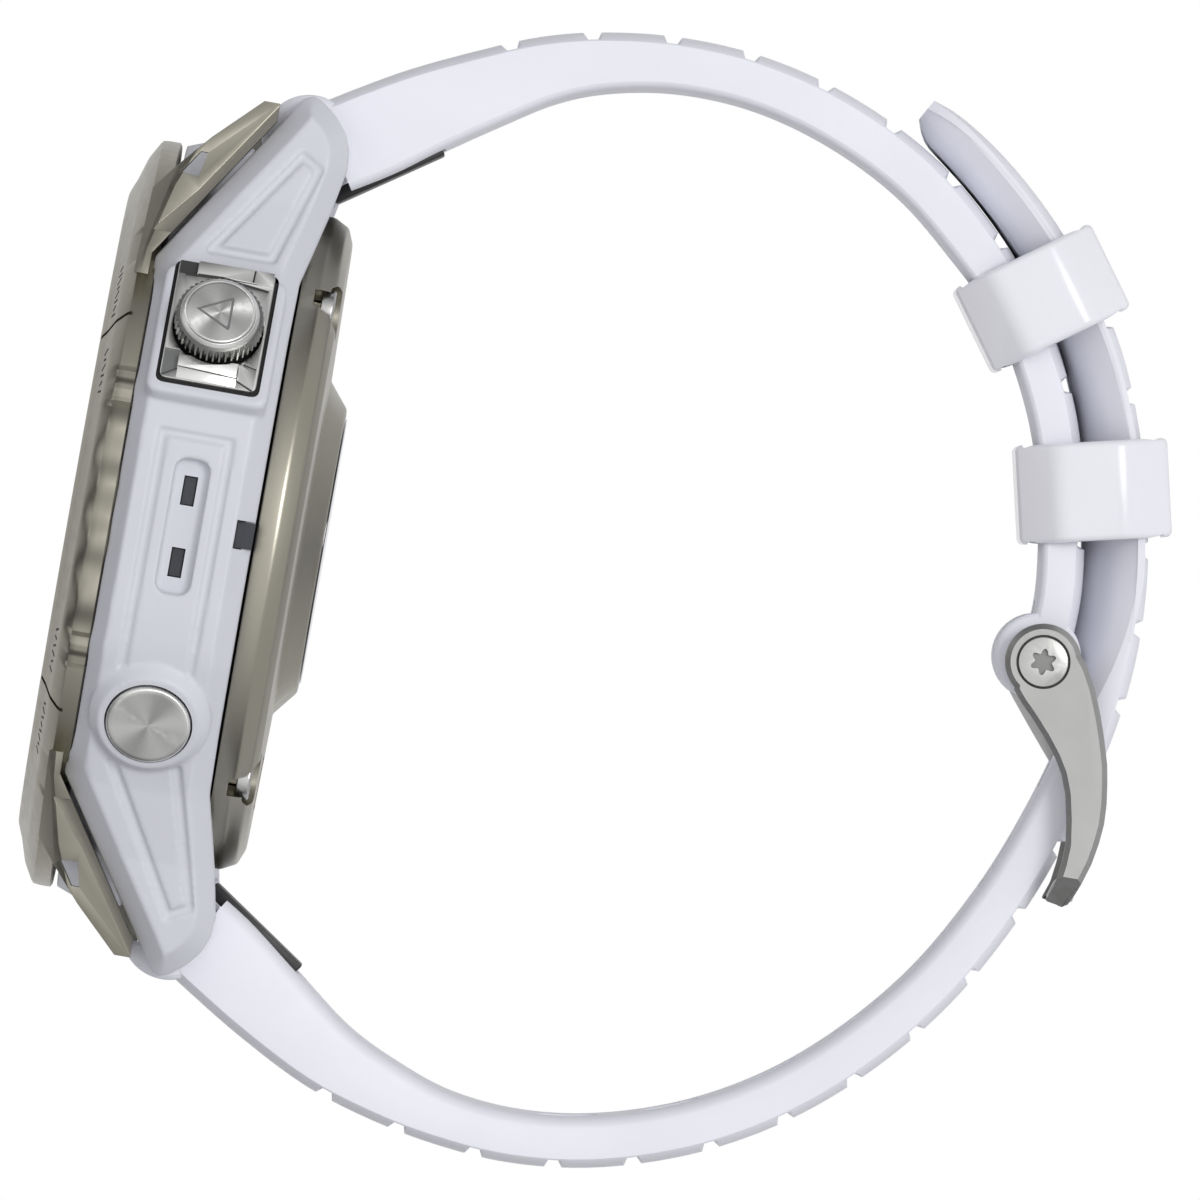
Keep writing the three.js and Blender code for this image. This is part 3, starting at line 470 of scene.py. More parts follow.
SIDE_X = 21.6
CASE_LOW = 3.85
CASE_TOP = 11.9
LUG_INNER = 10.25
PIN_Y, PIN_Z = 22.2, 4.7
BUTTON_Z = 7.75
SKIRT_R = 2.45
COLLAR_TOP = 22.75
PLAIN_R = 2.35
CASE_FACE = 22.03
GUARD_FACE = 23.0
GUARD_PLATE = rectangle(-3.65, 3.9, -2.65, 2.72)
GUARD_POCKET = rectangle(-3.92, 3.94, -2.88, 2.92)
GUARD_RIM = rectangle(-4.5, 3.7, -3.4, 3.4)
PLAIN_AZIMUTHS = {"back": -29, "light": 151, "up": 180, "down": 209}
START_AZIMUTH = 29
STEM_R = 1.0
STEM_INNER = 18.9
STEM_BORE_R = 1.15
PIN_BORE_R = 0.98
PIN_BORE_END = 11.7
KNUCKLE_ROOM_R = 3.1
PORT_RECESS = rectangle(-3.75, 3.75, BUTTON_Z - 0.975, BUTTON_Z + 0.975)
# Openings in the side or the seam of the case: (y, z, half width, half height).
PORTS = [(2.0, BUTTON_Z, 0.82, 0.38), (-2.0, BUTTON_Z, 0.82, 0.38), (0.1, 4.3, 0.8, 0.55)]
# The bezel's seat, the hollow inside, the opening at the back and the rear cover's seat:
# (radius, low, high, sides).
CASE_BORES = [(21.12, 11.65, 14, 160), (18.6, 4.4, 14, 128), (17.4, 0, 5, 128), (18.65, 0, CASE_LOW, 128)]


def radial(azimuth):
    """Carries a shape built along +Z to the button axis at that azimuth."""
    along = Vector((*polar(1, math.radians(azimuth)), 0))
    rise = Vector((0, 0, 1))
    side = rise.cross(along)
    return Matrix.Translation((0, 0, BUTTON_Z)) @ Matrix((side, rise, along)).transposed().to_4x4()


def lug_shape():
    plan = [(9, 11.5), (18.9, 11.5), (17.15, 14.7), (15.6, 18.5), (14.0, 25), (9, 25)]
    top = CASE_TOP - 0.02
    side = [(9, top), (9, CASE_LOW + 0.02), (14.3, 3.8), (18.5, 2.8), (21.0, 2.3), (22.1, 2.4), (23.0, 2.75),
            (23.8, 3.4), (24.5, 4.3), (24.7, 4.8), (24.5, 5.3), (22.8, 6.4), (14.47, top)]
    lug = keep(prism(plan, 0, 14, "Z"), prism(side, LUG_INNER - 0.6, 22))
    shaved(lug, (16.0, 18.6, 8.4), (0.62, 0.5, 0.62))
    shaved(lug, (14.3, 24.0, 4.7), (0.62, 0.75, 0.1))
    return shaved(lug, (16.2, 17.0, 3.1), (0.7, 0.05, -0.72))


# The pressed lines of the side face: both ends as (y, z).
PRESSED = [((5, 9.7), (-8.2, 9.7)), ((5, 5.95), (-8.2, 5.95)), ((5, 5.95), (5, 9.7)),
           ((-13.4, 9.4), (-21.3, 4.9)), ((-12.5, 6.0), (-20.7, 3.8)), ((-21.3, 4.9), (-20.7, 3.8)),
           ((15.4, 8.9), (21.3, 4.8)), ((15.4, 5.5), (20.7, 3.8)), ((21.3, 4.8), (20.7, 3.8)),
           ((15.4, 5.5), (15.4, 8.9))]
LINE_WIDTH = 0.46
LINE_DEPTH = 0.24
# How far beyond the face a cutter goes on, and how long its steps are.
OVERSHOOT = 3
STEP = 0.8


def side_x_at(y):
    """How far out the case's side face stands, in X."""
    plan = [(4.8, SIDE_X), (7.2, 21.2), (14.6, 17.1), (18.5, 15.6), (25, 14.0)]
    return float(np.interp(abs(y), *zip(*plan)))


def pressed_line(start, end):
    """A cutter that follows the side face between two points."""
    a, b = Vector(start), Vector(end)
    along = (b - a).normalized()
    across = Vector((-along.y, along.x)) * LINE_WIDTH / 2
    a, b = a - along * LINE_WIDTH / 2, b + along * LINE_WIDTH / 2
    steps = max(2, int((b - a).length / STEP))
    rings = []
    for k in range(steps + 1):
        p = a.lerp(b, k / steps)
        deep = side_x_at(p.x) - LINE_DEPTH
        high = deep + OVERSHOOT
        rings.append([(deep, *(p + across)), (high, *(p + across * 3)),
                      (high, *(p - across * 3)), (deep, *(p - across))])
    return skin(rings)


# The case's outline seen from 3 o'clock, from the middle of the back to the middle of the top.
HALF_OUTLINE = [(9, CASE_LOW), (14.3, 3.8), (18.5, 2.8), (21.0, 2.3), (22.1, 2.35), (23.2, 2.85), (24.1, 3.7),
                (24.65, 4.75), (24.35, 5.45), (22.8, 6.4), (14.47, CASE_TOP)]
# The bevel's width and drop, and how far its cutter goes on at both its edges.
BAND = 1.05
BAND_DROP = 1.5
SPARE = 0.35


def edge_band():
    """A cutter that bevels the edge all round one side face of the case."""
    corners = rounded(HALF_OUTLINE + [(-y, z) for y, z in reversed(HALF_OUTLINE)], 0.9, 3)
    outline = []
    for k, corner in enumerate(corners):
        start, end = Vector(corner), Vector(corners[(k + 1) % len(corners)])
        steps = max(1, round((end - start).length / STEP))
        outline += [start.lerp(end, step / steps) for step in range(steps)]
    slope = BAND_DROP / BAND
    rings = []
    for k, p in enumerate(outline):
        along = (outline[(k + 1) % len(outline)] - outline[k - 1]).normalized()
        inward = Vector((-along.y, along.x))
        inner, outer = p + inward * (BAND + SPARE), p - inward * SPARE
        surface = side_x_at((p + inward * BAND).x)
        high, low = surface + SPARE * slope, surface - BAND_DROP - SPARE * slope
        rings.append([(low, *outer), (high, *inner), (high + OVERSHOOT, *inner), (high + OVERSHOOT, *outer)])
    return skin(rings, closed=True)


COARSE_VOXEL, FINE_VOXEL = 0.16, 0.12


def build_case():
    quarter = [(SIDE_X, 0), (SIDE_X, 4.8), (21.2, 7.2), (17.1, 14.6), (16.0, 17.6)]
    right_half = [(x, -y) for x, y in reversed(quarter[1:])] + quarter[1:]
    outline = rounded(right_half + [(-x, -y) for x, y in right_half], 2.6, 8)
    sides = keep(prism(outline, CASE_LOW, CASE_TOP, "Z"), block(-30, 30, -14.5, 14.5, 0, 20))
    barrel = lathe([(0, CASE_LOW), (20.7, CASE_LOW), (21.3, 5.2), (21.45, 9.95), (20.9, 11.4), (0, 11.4)])
    lug = lug_shape()
    lugs = [mirrored(lug, sx, sy) for sx in (1, -1) for sy in (1, -1)]
    bpy.data.objects.remove(lug)
    body = join(sides, barrel, *lugs)
    for side in (1, -1):
        shaved(body, (side * (SIDE_X - 0.9), 0, CASE_TOP), (side * 0.62, 0, 0.78))
        shaved(body, (side * SIDE_X, 0, CASE_LOW + 0.9), (side * 0.78, 0, -0.62))
    cut(body, edge_band(), turned(edge_band(), Matrix.Rotation(math.pi, 4, "Z")),
        prism(rounded(PORT_RECESS, 0.7, 6), 20.9, 24), *[pressed_line(a, b) for a, b in PRESSED])
    collar = [(0, 20), (3.4, 20), (3.4, CASE_FACE), (2.8, COLLAR_TOP), (0, COLLAR_TOP)]
    collars = [turned(lathe(collar, 96), radial(a)) for a in PLAIN_AZIMUTHS.values()]
    rim = bevel(prism(rounded(GUARD_RIM, 0.8, 4), 20.5, GUARD_FACE - 0.1, "Z"), 0.3, 3, 60)
    join(body, turned(rim, radial(START_AZIMUTH)), *collars)
    cutters = [disc(0, 0, *bore) for bore in CASE_BORES]
    for azimuth in [START_AZIMUTH, *PLAIN_AZIMUTHS.values()]:
        cutters.append(turned(disc(0, 0, STEM_BORE_R, 15, 26, 32), radial(azimuth)))
    y, z = PIN_Y, PIN_Z
    wedge = [(y - KNUCKLE_ROOM_R, z), (y - KNUCKLE_ROOM_R, 0), (27, 0), (27, 12.5), (y - 0.8, 12.5),
             (y - 0.8, z + 2.9), (y - 1.8, z + 2.4)]
    for side in (1, -1):
        cutters.append(bar(side * y, z, KNUCKLE_ROOM_R, -LUG_INNER, LUG_INNER))
        cutters.append(prism([(side * a, b) for a, b in wedge], -LUG_INNER, LUG_INNER))
        cutters.append(bar(side * y, z, PIN_BORE_R, -PIN_BORE_END, PIN_BORE_END, 32))
    cut(body, *cutters)
    soften(body, FINE_VOXEL, 4)
    pocket = prism(rounded(GUARD_POCKET, 0.5, 5), GUARD_FACE - 1.1, 26, "Z")
    cutters = [turned(pocket, radial(START_AZIMUTH))]
    cutters += [turned(disc(0, 0, PLAIN_R + 0.1, 21.4, 26, 96), radial(a)) for a in PLAIN_AZIMUTHS.values()]
    for y, z, half_y, half_z in PORTS:
        cutters.append(block(18, 24, y - half_y, y + half_y, z - half_z, z + half_z))
    cut(body, *cutters)
    piece(body, "case_shell", "case", "white_polymer", ["case_body"], 80)


build_case()

# ---- bezel ----

BEZEL_R = 21.0
BEZEL_SEAT = 11.68
WAVE_PITCH = 3.3


def bezel_inset(y):
    """How far the bezel's side is cut back: raised blocks, steps, and waves between them."""
    if abs(y) >= 16:
        return 0.0
    if 8.1 <= y <= 14.3 or -14.0 <= y <= -8.6:
        return 0.0
    if 6.75 <= y <= 7.5 or -8.0 <= y <= -7.3:
        return 0.1
    if -7.0 < y < 6.3:
        return 0.34 + 0.17 * math.cos(2 * math.pi * y / WAVE_PITCH)
    return 0.24


def build_bezel_ring():
    """The ring, whose side is stepped and scalloped at 3 and 9 o'clock."""
    # Radius, z, and how much of the cut-back reaches that level.
    heights = [(17.4, BEZEL_SEAT, 0), (20.85, BEZEL_SEAT, 1), (BEZEL_R, BEZEL_SEAT + 0.1, 1),
               (BEZEL_R, 12.35, 1),
               (20.96, 12.72, 1), (20.8, 12.86, 0.8), (20.2, 13.2, 0.2), (19.9, 13.36, 0), (19.7, 13.43, 0),
               (18.6, 13.77, 0), (18.35, 13.88, 0), (17.9, 14.06, 0), (17.75, 14.1, 0), (17.45, 14.1, 0),
               (17.4, 14.05, 0)]
    rings = []
    for a in turns(720):
        back = bezel_inset(BEZEL_R * math.sin(a))
        rings.append([(*polar(r - back * share, a), z) for r, z, share in heights])
    ring = skin(rings, closed=True)
    splits = []
    for azimuth in (32, -32, 148, 212):
        groove = prism(rectangle(-0.11, 0.11, -0.25, 1), -1.7, 1.8)
        turned(groove, Matrix.Translation((19.5, 0, 13.45)) @ Matrix.Rotation(math.radians(23), 4, "Y"))
        splits.append(about_z(groove, azimuth))
    cut(ring, *splits)
    piece(ring, "bezel_ring", "case", "bezel_titanium", ["bezel"], 40)


def build_struts():
    side = [(13.4, 12.1), (14.6, 12.1), (22.95, 6.6), (23.95, 6.6), (23.95, 7.45), (21.5, 9.95),
            (19.6, 11.6), (18.2, 12.7), (13.4, 12.9)]
    plan = [(10.6, 13.4), (18.0, 13.4), (17.2, 14.8), (15.7, 18.5), (14.2, 24.2), (10.6, 24.2)]
    strut = keep(prism(side, 10.6, 19), prism(plan, 5, 14, "Z"))
    cut(strut, prism([(19.2, 10.3), (20.6, 10.0), (20.6, 10.45), (19.3, 11.3)], 10, 20))
    shaved(strut, (15.6, 18.5, 11.6), (0.66, 0.42, 0.62))
    facet = shaved(block(10, 20, 15.9, 26, 5, 14), (15.45, 19.3, 9.57), (-0.74, 0.229, 0.629))
    cut(strut, facet)
    cut(strut, disc(0, 0, 17.5, 5, 14.2, 128), disc(0, 0, 21.65, 5, 11.65, 128))
    bevel(strut, 0.12)
    for k, (sx, sy) in enumerate([(1, 1), (1, -1), (-1, 1), (-1, -1)]):
        piece(mirrored(strut, sx, sy), f"bezel_strut_{k + 1}", "case", "bezel_titanium", ["bezel"])
    bpy.data.objects.remove(strut)


# Groups of plain engraved ticks on the chamfer of the bezel: first and last azimuth in degrees.
TICK_GROUPS = [(34.5, 46), (20, 28.5), (-28, -20), (-45, -34)]
TICK_STEP = 1.45


def build_ticks():
    """Short slanted marks in the bezel's chamfer, in place of lettering."""
    shapes = []
    for mirror in (0, 180):
        for first, last in TICK_GROUPS:
            for k, azimuth in enumerate(np.arange(first, last, TICK_STEP)):
                half, reach = 0.06, 0.26 - 0.07 * (k % 3 == 1)
                tick = prism(rectangle(-half, half, -0.02, 0.012), -reach, reach)
                slant = math.radians(28 if k % 2 else -12)
                lie = Matrix.Rotation(math.radians(17.2), 4, "Y") @ Matrix.Rotation(slant, 4, "Z")
                turned(tick, Matrix.Translation((19.12, 0, 13.609)) @ lie)
                shapes.append(about_z(tick, float(azimuth) + mirror))
    piece(merged(shapes), "bezel_ticks", "case", "bezel_titanium", look="engraving")


build_bezel_ring()
build_struts()
build_ticks()

# ---- display ----


def build_display():
    lens = lathe(rounded([(0, 12.5), (17.2, 12.5), (17.2, 13.75), (16.9, 14.0), (0, 14.0)], 0.1), 200)
    piece(lens, "lens", "case", "lens_glass", ["display_lens"])
    ring = lathe(rounded([(16.1, 11.2), (17.2, 11.2), (17.2, 12.0), (16.6, 12.0)], 0.06), 200)
    piece(ring, "dial_ring_trim", "case", "dial_ring_plastic", ["dial_ring"])
    panel = lathe(rounded([(0, 10.6), (15.9, 10.6), (15.9, 12.0), (0, 12.0)], 0.08), 200)
    piece(panel, "panel", "case", "display_black", ["display_panel"])
    marks = []
    for k in range(60):
        wide, inner = (0.34, 13.2) if k % 5 == 0 else (0.14, 14.3)
        mark = prism(rectangle(-wide / 2, wide / 2, inner, 15.2), 12.0, 12.03, "Z")
        marks.append(about_z(mark, 6 * k))
    for number, x, y, size in [("10", -5.2, 0.2, 6.4), ("08", 3.6, 0.2, 6.4), ("12.40", -3.6, -6.6, 3.0)]:
        curve = bpy.data.curves.new("digits", "FONT")
        curve.body = number
        curve.size = size
        curve.extrude = 0.015
        curve.align_x = "LEFT"
        text = linked("digits", curve)
        graph = bpy.context.evaluated_depsgraph_get()
        mesh = bpy.data.meshes.new_from_object(text.evaluated_get(graph))
        bpy.data.objects.remove(text)
        mesh.transform(Matrix.Translation((x - size * 0.12, y, 12.02)))
        marks.append(linked("digits", mesh))
    piece(merged(marks), "dial_marks", "case", "display_black", look="dial_mark")


build_display()

# ---- rear cover ----

SOCKET_Y = -13.3
SCREW_AZIMUTHS = [52, 128, 232, 308]
SCREW_R = 16.6


STAR_LOBES = 6


def star(r):
    """The outline of a driver recess."""
    return [polar(r * (0.82 + 0.18 * math.cos(STAR_LOBES * a)), a) for a in turns(60)]


def socket_outline(half_x, half_y, corner):
    return rounded(rectangle(-half_x, half_x, SOCKET_Y - half_y, SOCKET_Y + half_y), corner)


def build_rear():
    profile = [(18.4, 3.7), (18.4, 2.6), (17.95, 1.75), (17.1, 1.4), (9.4, 1.25), (8.0, 0.12), (7.65, 0.1),
               (7.65, 0.6), (6.95, 0.6), (6.95, 1.9), (14.8, 2.3), (14.8, 3.7)]
    cover = lathe(rounded(profile, 0.14), 240)
    screw_places = [polar(SCREW_R, math.radians(azimuth)) for azimuth in SCREW_AZIMUTHS]
    cutters = [prism(socket_outline(2.8, 1.5, 0.5), 0, 4, "Z")]
    for x, y in screw_places:
        cutters += [disc(x, y, 1.5, 0, 2.5), disc(x * 1.13, y, 1.15, 0, 2.9), disc(x, y, 0.65, 0, 4, 32)]
    cut(cover, *cutters)
    piece(cover, "back_cover", "case", "cover_titanium", ["rear_cover"])
    window = lathe(rounded([(0, 0), (7.5, 0), (7.5, 0.5), (0, 0.5)], 0.12), 160)
    piece(window, "sensor_lens", "case", "sensor_glass", ["sensor_window"])
    half_screw = [(0, 1.7), (1.15, 1.7), (1.25, 1.8), (1.25, 2.45), (0.55, 2.45), (0.55, 3.65), (0, 3.65)]
    for k, (x, y) in enumerate(screw_places):
        screw = lathe(rounded(half_screw, 0.08), 48)
        cut(screw, prism(star(0.62), 1.5, 2.1, "Z"))
        turned(screw, Matrix.Translation((x, y, 0)))
        piece(screw, f"cover_screw_{k + 1}", "case", "steel", [f"rear_screw_{k + 1}"])
    body = prism(socket_outline(2.72, 1.42, 0.45), 1.6, 3.6, "Z")
    cut(body, prism(socket_outline(2.2, 0.9, 0.4), 1, 2.6, "Z"))
    bevel(body, 0.08)
    piece(body, "charging_socket", "case", "dark_plastic", ["charge_socket"])


build_rear()

# ---- buttons ----


def place(azimuth):
    """Where a button's own frame stands, in metres."""
    matrix = radial(azimuth)
    matrix.translation *= MM
    return matrix


def build_plain_button(name, azimuth):
    face = 23.0
    r = PLAIN_R
    cap = lathe(rounded([(0, face - 0.78), (r, face - 0.78), (r, face - 0.14), (r - 0.12, face - 0.02),
                         (r - 0.3, face), (0, face - 0.03)], 0.06), 96)
    join(cap, disc(0, 0, STEM_R, STEM_INNER, face - 0.5, 32))
    piece(cap, f"{name}_cap", name, "button_steel", [f"{name}_button"], at=place(azimuth),
          look="brushed_sheen_face")


KNURL_TEETH = 44
KNURL_DEPTH = 0.16


def build_start_button():
    face = 24.75
    at = place(START_AZIMUTH)
    radii = (SKIRT_R, SKIRT_R, SKIRT_R - KNURL_DEPTH, SKIRT_R - KNURL_DEPTH)
    outline = [polar(radii[k % 4], a) for k, a in enumerate(turns(KNURL_TEETH * 4))]
    skirt = prism(outline, face - 1.38, face - 0.4, "Z")
    keep(skirt, lathe([(0, face - 1.4), (2.6, face - 1.4), (2.6, face - 0.75), (2.25, face - 0.3),
                       (0, face - 0.3)], 96))
    join(skirt, disc(0, 0, STEM_R, STEM_INNER, face - 1.1, 32))
    # The skirt is dressed in the darker steel: painted shade on the knurl.
    piece(skirt, "start_skirt", "start", "button_steel", ["start_button"], at=at, look="knurl_shade_steel")
    head = lathe(rounded([(0, face - 0.5), (2.2, face - 0.5), (2.2, face - 0.22), (2.0, face - 0.02),
                          (1.93, face - 0.04), (1.86, face - 0.04), (1.82, face), (0, face)], 0.04), 96)
    arrow = rounded([(-1.1, -0.65), (1.1, -0.65), (0, 1.35)], 0.2)
    inner = rounded([(-0.86, -0.52), (0.86, -0.52), (0, 1.08)], 0.15)
    groove, paint = (cut(prism(arrow, low, high, "Z"), prism(inner, face - 1, face + 2, "Z"))
                     for low, high in ((face - 0.1, face + 1), (face - 0.2, face - 0.03)))
    cut(head, groove)
    piece(paint, "start_arrow", "start", "button_steel", at=at, look="recess_grey")
    piece(head, "start_face", "start", "button_steel", ["start_button"], at=at, look="brushed_sheen_face")


# Thin creases of the guard, as ends (x, y) in the guard's own frame and a width.
GUARD_CREASES = [((2.98, 2.3), (3.06, 0.2), 0.16), ((3.06, 0.2), (2.74, -2.4), 0.16),
                 ((3.1, -1.47), (3.85, -1.5), 0.1), ((-2.98, 1.8), (-3.13, -1.5), 0.07),
                 ((-3.13, -1.5), (-3.6, -2.45), 0.11),
                 ((-2.3, -1.5), (-3.13, -1.5), 0.06), ((-2.05, -1.75), (-2.24, -2.5), 0.08),
                 ((-2.98, 1.8), (-3.5, 2.6), 0.08)]


def crease(start, end, width, low, high):
    a, b = Vector(start), Vector(end)
    across = Vector((a.y - b.y, b.x - a.x)).normalized() * width / 2
    return prism([tuple(a + across), tuple(b + across), tuple(b - across), tuple(a - across)], low, high, "Z")


def build_guard():
    """The guard: a plate with a raised strip above the button and a faceted block below it.
    It is built with +Z outwards and +X towards 12 o'clock."""
    face = GUARD_FACE
    floor = face - 1.0
    at = place(START_AZIMUTH)
    plate = prism(rounded(GUARD_PLATE, 0.4, 4), floor, face, "Z")
    strip = prism([(3.05, -2.6), (3.88, -2.55), (3.88, 1.6), (3.05, 1.6)], floor + 0.2, face + 0.12, "Z")
    facets = [(face - 0.3, -3.6), (face + 0.06, -3.6), (face + 0.3, -3.0), (face + 0.36, -2.26),
              (face - 0.3, -2.2)]
    # The facets run along the guard's Y, so X, Y and Z of the prism become its Y, Z and X.
    upright = Matrix(((0, 0, 1, 0), (1, 0, 0, 0), (0, 1, 0, 0), (0, 0, 0, 1)))
    join(plate, strip, turned(prism(facets, -1.5, 1.8), upright))
    dark = rectangle(3.0, 3.95, 1.65, 2.66)
    grey = [(-1.8, 1.83), (-1.8, 2.66), (-3.5, 2.66), (-3.0, 1.83)]
    creases = [crease(*ends, face - 0.25, face + 1) for ends in GUARD_CREASES]
    cut(plate, disc(0, 0, SKIRT_R + 0.08, 20, 27, 96), prism(dark, face - 0.3, face + 1, "Z"),
        prism(grey, face - 0.14, face + 1, "Z"), *creases)
    bevel(plate, 0.03)
    piece(plate, "button_guard", "case", "button_steel", ["start_guard"], at=at)
    lines = [crease(*ends, face - 0.3, face - 0.03) for ends in GUARD_CREASES]
    shade = join(prism(dark, face - 0.34, face - 0.24, "Z"), *lines)
    piece(shade, "guard_creases", "case", "button_steel", at=at, look="groove_shade")
    patch = prism(grey, face - 0.18, face - 0.1, "Z")
    piece(patch, "guard_recess", "case", "button_steel", at=at, look="recess_grey")
    # A black rubber floor round the guard and under its button: partly a seal, partly painted shade that
    # darkens the gaps.
    seal_and_shade = prism(rounded(GUARD_POCKET, 0.5, 5), floor - 0.05, face - 0.25, "Z")
    cut(seal_and_shade, disc(0, 0, 1.2, 20, 27, 48), prism(rounded(GUARD_PLATE, 0.4, 4), floor + 0.02, face, "Z"))
    bevel(seal_and_shade, 0.03)
    piece(seal_and_shade, "guard_seal_and_shade", "case", "black_rubber", at=at)


for button_name, button_azimuth in PLAIN_AZIMUTHS.items():
    build_plain_button(button_name, button_azimuth)
build_start_button()
build_guard()

# ---- band ----

# The middle line of each strap with its thickness: (y, z, thickness).
LINE_12 = [(22.2, 3.3, 5.2), (23.5, 1.2, 5.2), (25.0, -1.1, 4.9), (26.95, -4.5, 4.3), (28.45, -7.4, 3.75),
           (29.4, -10.25, 3.35), (30.05, -14.5, 3.05), (29.85, -19.2, 2.95), (28.6, -24.0, 2.95),
           (26.3, -28.7, 2.95), (23.4, -32.3, 2.9), (19.9, -35.6, 2.6), (15.2, -38.3, 2.6),
           (11.0, -39.7, 2.5), (7.5, -40.35, 2.5), (4.75, -40.65, 2.5), (2.4, -40.6, 2.5)]
LINE_6 = [(-22.2, 3.3, 5.2), (-23.1, 1.9, 5.2), (-25.2, -1.15, 4.8), (-27.6, -5.0, 4.0), (-28.95, -8.4, 3.45),
          (-29.85, -11.8, 3.0), (-30.2, -16.0, 2.9), (-29.6, -20.8, 2.9), (-27.6, -26.45, 2.9),
          (-24.2, -31.7, 2.9), (-18.8, -36.8, 2.9), (-13.0, -40.2, 2.85), (-7.6, -42.3, 2.75),
          (-2.0, -43.75, 2.6), (1.45, -44.25, 2.45), (5.0, -44.25, 2.4), (8.1, -43.85, 2.45),
          (13.9, -42.3, 2.6), (19.1, -39.95, 2.7), (24.05, -35.95, 2.75), (27.1, -32.6, 2.7),
          (29.0, -29.9, 2.4), (29.75, -28.6, 1.9)]
ROOT_WIDTH, END_WIDTH = 20.0, 18.0
TREAD_PITCH, TREAD_GAP, TREAD_DEPTH = 4.202, 0.75, 0.4
# Lengths at the tail's end: where it narrows, and where its wrist side curls up.
TIP_NARROW, TIP_ROUND = 6.0, 1.5
TIP_INSET = 1.6
# How far the middle of the tail swells towards the strap under it: share of the strap's length, and mm.
TAIL_SWELL = [(0.6, 0.0), (0.645, 0.3), (0.665, 1.35), (0.7, 1.35), (0.74, 1.2), (0.78, 0.9), (0.82, 0.7),
              (0.86, 0.5), (0.9, 0.18), (0.94, 0.06), (1.0, 0.0)]


SPLINE_SAMPLES = 24


def spline(points):
    """A smooth line through the points: a centripetal Catmull-Rom curve, evenly sampled in its parameter."""
    p = np.array(points, float)
    p = np.vstack([2 * p[0] - p[1], p, 2 * p[-1] - p[-2]])
    out = []
    for i in range(1, len(p) - 2):
        knots = [0.0]
        for k in range(3):
            knots.append(knots[-1] + math.sqrt(np.linalg.norm(p[i + k] - p[i + k - 1])))
        t0, t1, t2, t3 = knots
        for t in np.linspace(t1, t2, SPLINE_SAMPLES, endpoint=False):
            a1 = (t1 - t) / (t1 - t0) * p[i - 1] + (t - t0) / (t1 - t0) * p[i]
            a2 = (t2 - t) / (t2 - t1) * p[i] + (t - t1) / (t2 - t1) * p[i + 1]
            a3 = (t3 - t) / (t3 - t2) * p[i + 1] + (t - t2) / (t3 - t2) * p[i + 2]
            b1 = (t2 - t) / (t2 - t0) * a1 + (t - t0) / (t2 - t0) * a2
            b2 = (t3 - t) / (t3 - t1) * a2 + (t - t1) / (t3 - t1) * a3
            out.append((t2 - t) / (t2 - t1) * b1 + (t - t1) / (t2 - t1) * b2)
    out.append(p[-2])
    return np.array(out)


def lengths(line):
    steps = np.linalg.norm(np.diff(line[:, :2], axis=0), axis=1)
    return np.concatenate([[0], np.cumsum(steps)])


def smooth_step(x, low, high):
    t = min(1.0, max(0.0, (x - low) / (high - low)))
    return t * t * (3 - 2 * t)


def strap_section(w, h, sunk, tuck, swell):
    """Half of a strap's section, from the middle of the outside to the middle of the inside, as (x, n).
    tuck, from 0 to 1, is how far the side curls in towards the wrist side, whose middle swells out."""
    top = h - sunk
    roll = 2.0 * tuck
    fall = min(1.85, 1.45 * h) * tuck
    return [(0, top), (0.4 * w, top - 0.03), (0.75 * w, top - 0.1), (w - 1.25, top - 0.17),
            (w - 0.95, top - 0.2), (w - 0.45, min(top - 0.26, h - 0.36)), (w - 0.12, h - 0.5),
            (w - 0.02, h - 0.58), (w, h - 0.68), (w, -h + 0.4 + fall),
            (w - 0.05, -h + 0.3 + 0.85 * fall), (w - 0.18 - 0.35 * roll, -h + 0.16 + 0.45 * fall),
            (w - 0.42 - 0.75 * roll, -h + 0.05 + 0.14 * fall), (w - 0.75 - roll, -h),
            (0.6 * w, -h - 0.3 * swell), (0.35 * w, -h - swell), (0, -h - swell)]


def none_at(share):
    """Neither tuck nor swell, anywhere along a strap."""
    return 0.0


def tail_swell(share):
    return float(np.interp(share, *zip(*TAIL_SWELL)))


def strap(points, narrowed_by, treads, outward, tuck_at=none_at, swell_at=none_at, tip=0.0):
    """A strap lofted along its middle line, with raised tread pads on its outside and a rounded tip.
    Its width goes from the root's to the end's by a share of its length."""
    line = spline(points)
    s = lengths(line)
    total = s[-1]

    def on_line(at, columns):
        return [float(np.interp(at, s, line[:, k])) for k in range(columns)]

    stations = set(np.linspace(0, total, int(total / 0.5)).round(3))
    half_gap = TREAD_GAP / 2
    for at in treads:
        for edge in (half_gap - 0.12, half_gap, half_gap + 0.1):
            stations |= {round(float(at - edge), 3), round(float(at + edge), 3)}
    rings = []
    for at in sorted(x for x in stations if 0 <= x <= total):
        y, z, thick = on_line(at, 3)
        ahead, behind = on_line(min(at + 0.2, total), 2), on_line(max(at - 0.2, 0), 2)
        along = Vector((ahead[0] - behind[0], ahead[1] - behind[1])).normalized()
        ny, nz = along.y * outward, -along.x * outward
        sunk = max((1 - smooth_step(abs(at - gap), half_gap - 0.12, half_gap + 0.1)) * TREAD_DEPTH
                   for gap in treads)
        width = ROOT_WIDTH + (END_WIDTH - ROOT_WIDTH) * smooth_step(at / total, 0, narrowed_by)
        w, h = width / 2, thick / 2
        if tip and at > total - tip:
            w -= TIP_INSET * ((at - (total - tip)) / tip) ** 3
        half = strap_section(w, h, sunk, tuck_at(at / total), swell_at(at / total))
        if tip and at > total - TIP_ROUND:
            curl = math.sqrt(max(0.12, 1 - ((at - (total - TIP_ROUND)) / TIP_ROUND) ** 2))
            half = [(x, n if n > 0 else n * curl) for x, n in half]
        ring = half + [(-x, n) for x, n in reversed(half[1:-1])]
        rings.append([(x, y + ny * n, z + nz * n) for x, n in ring])
    return skin(rings)


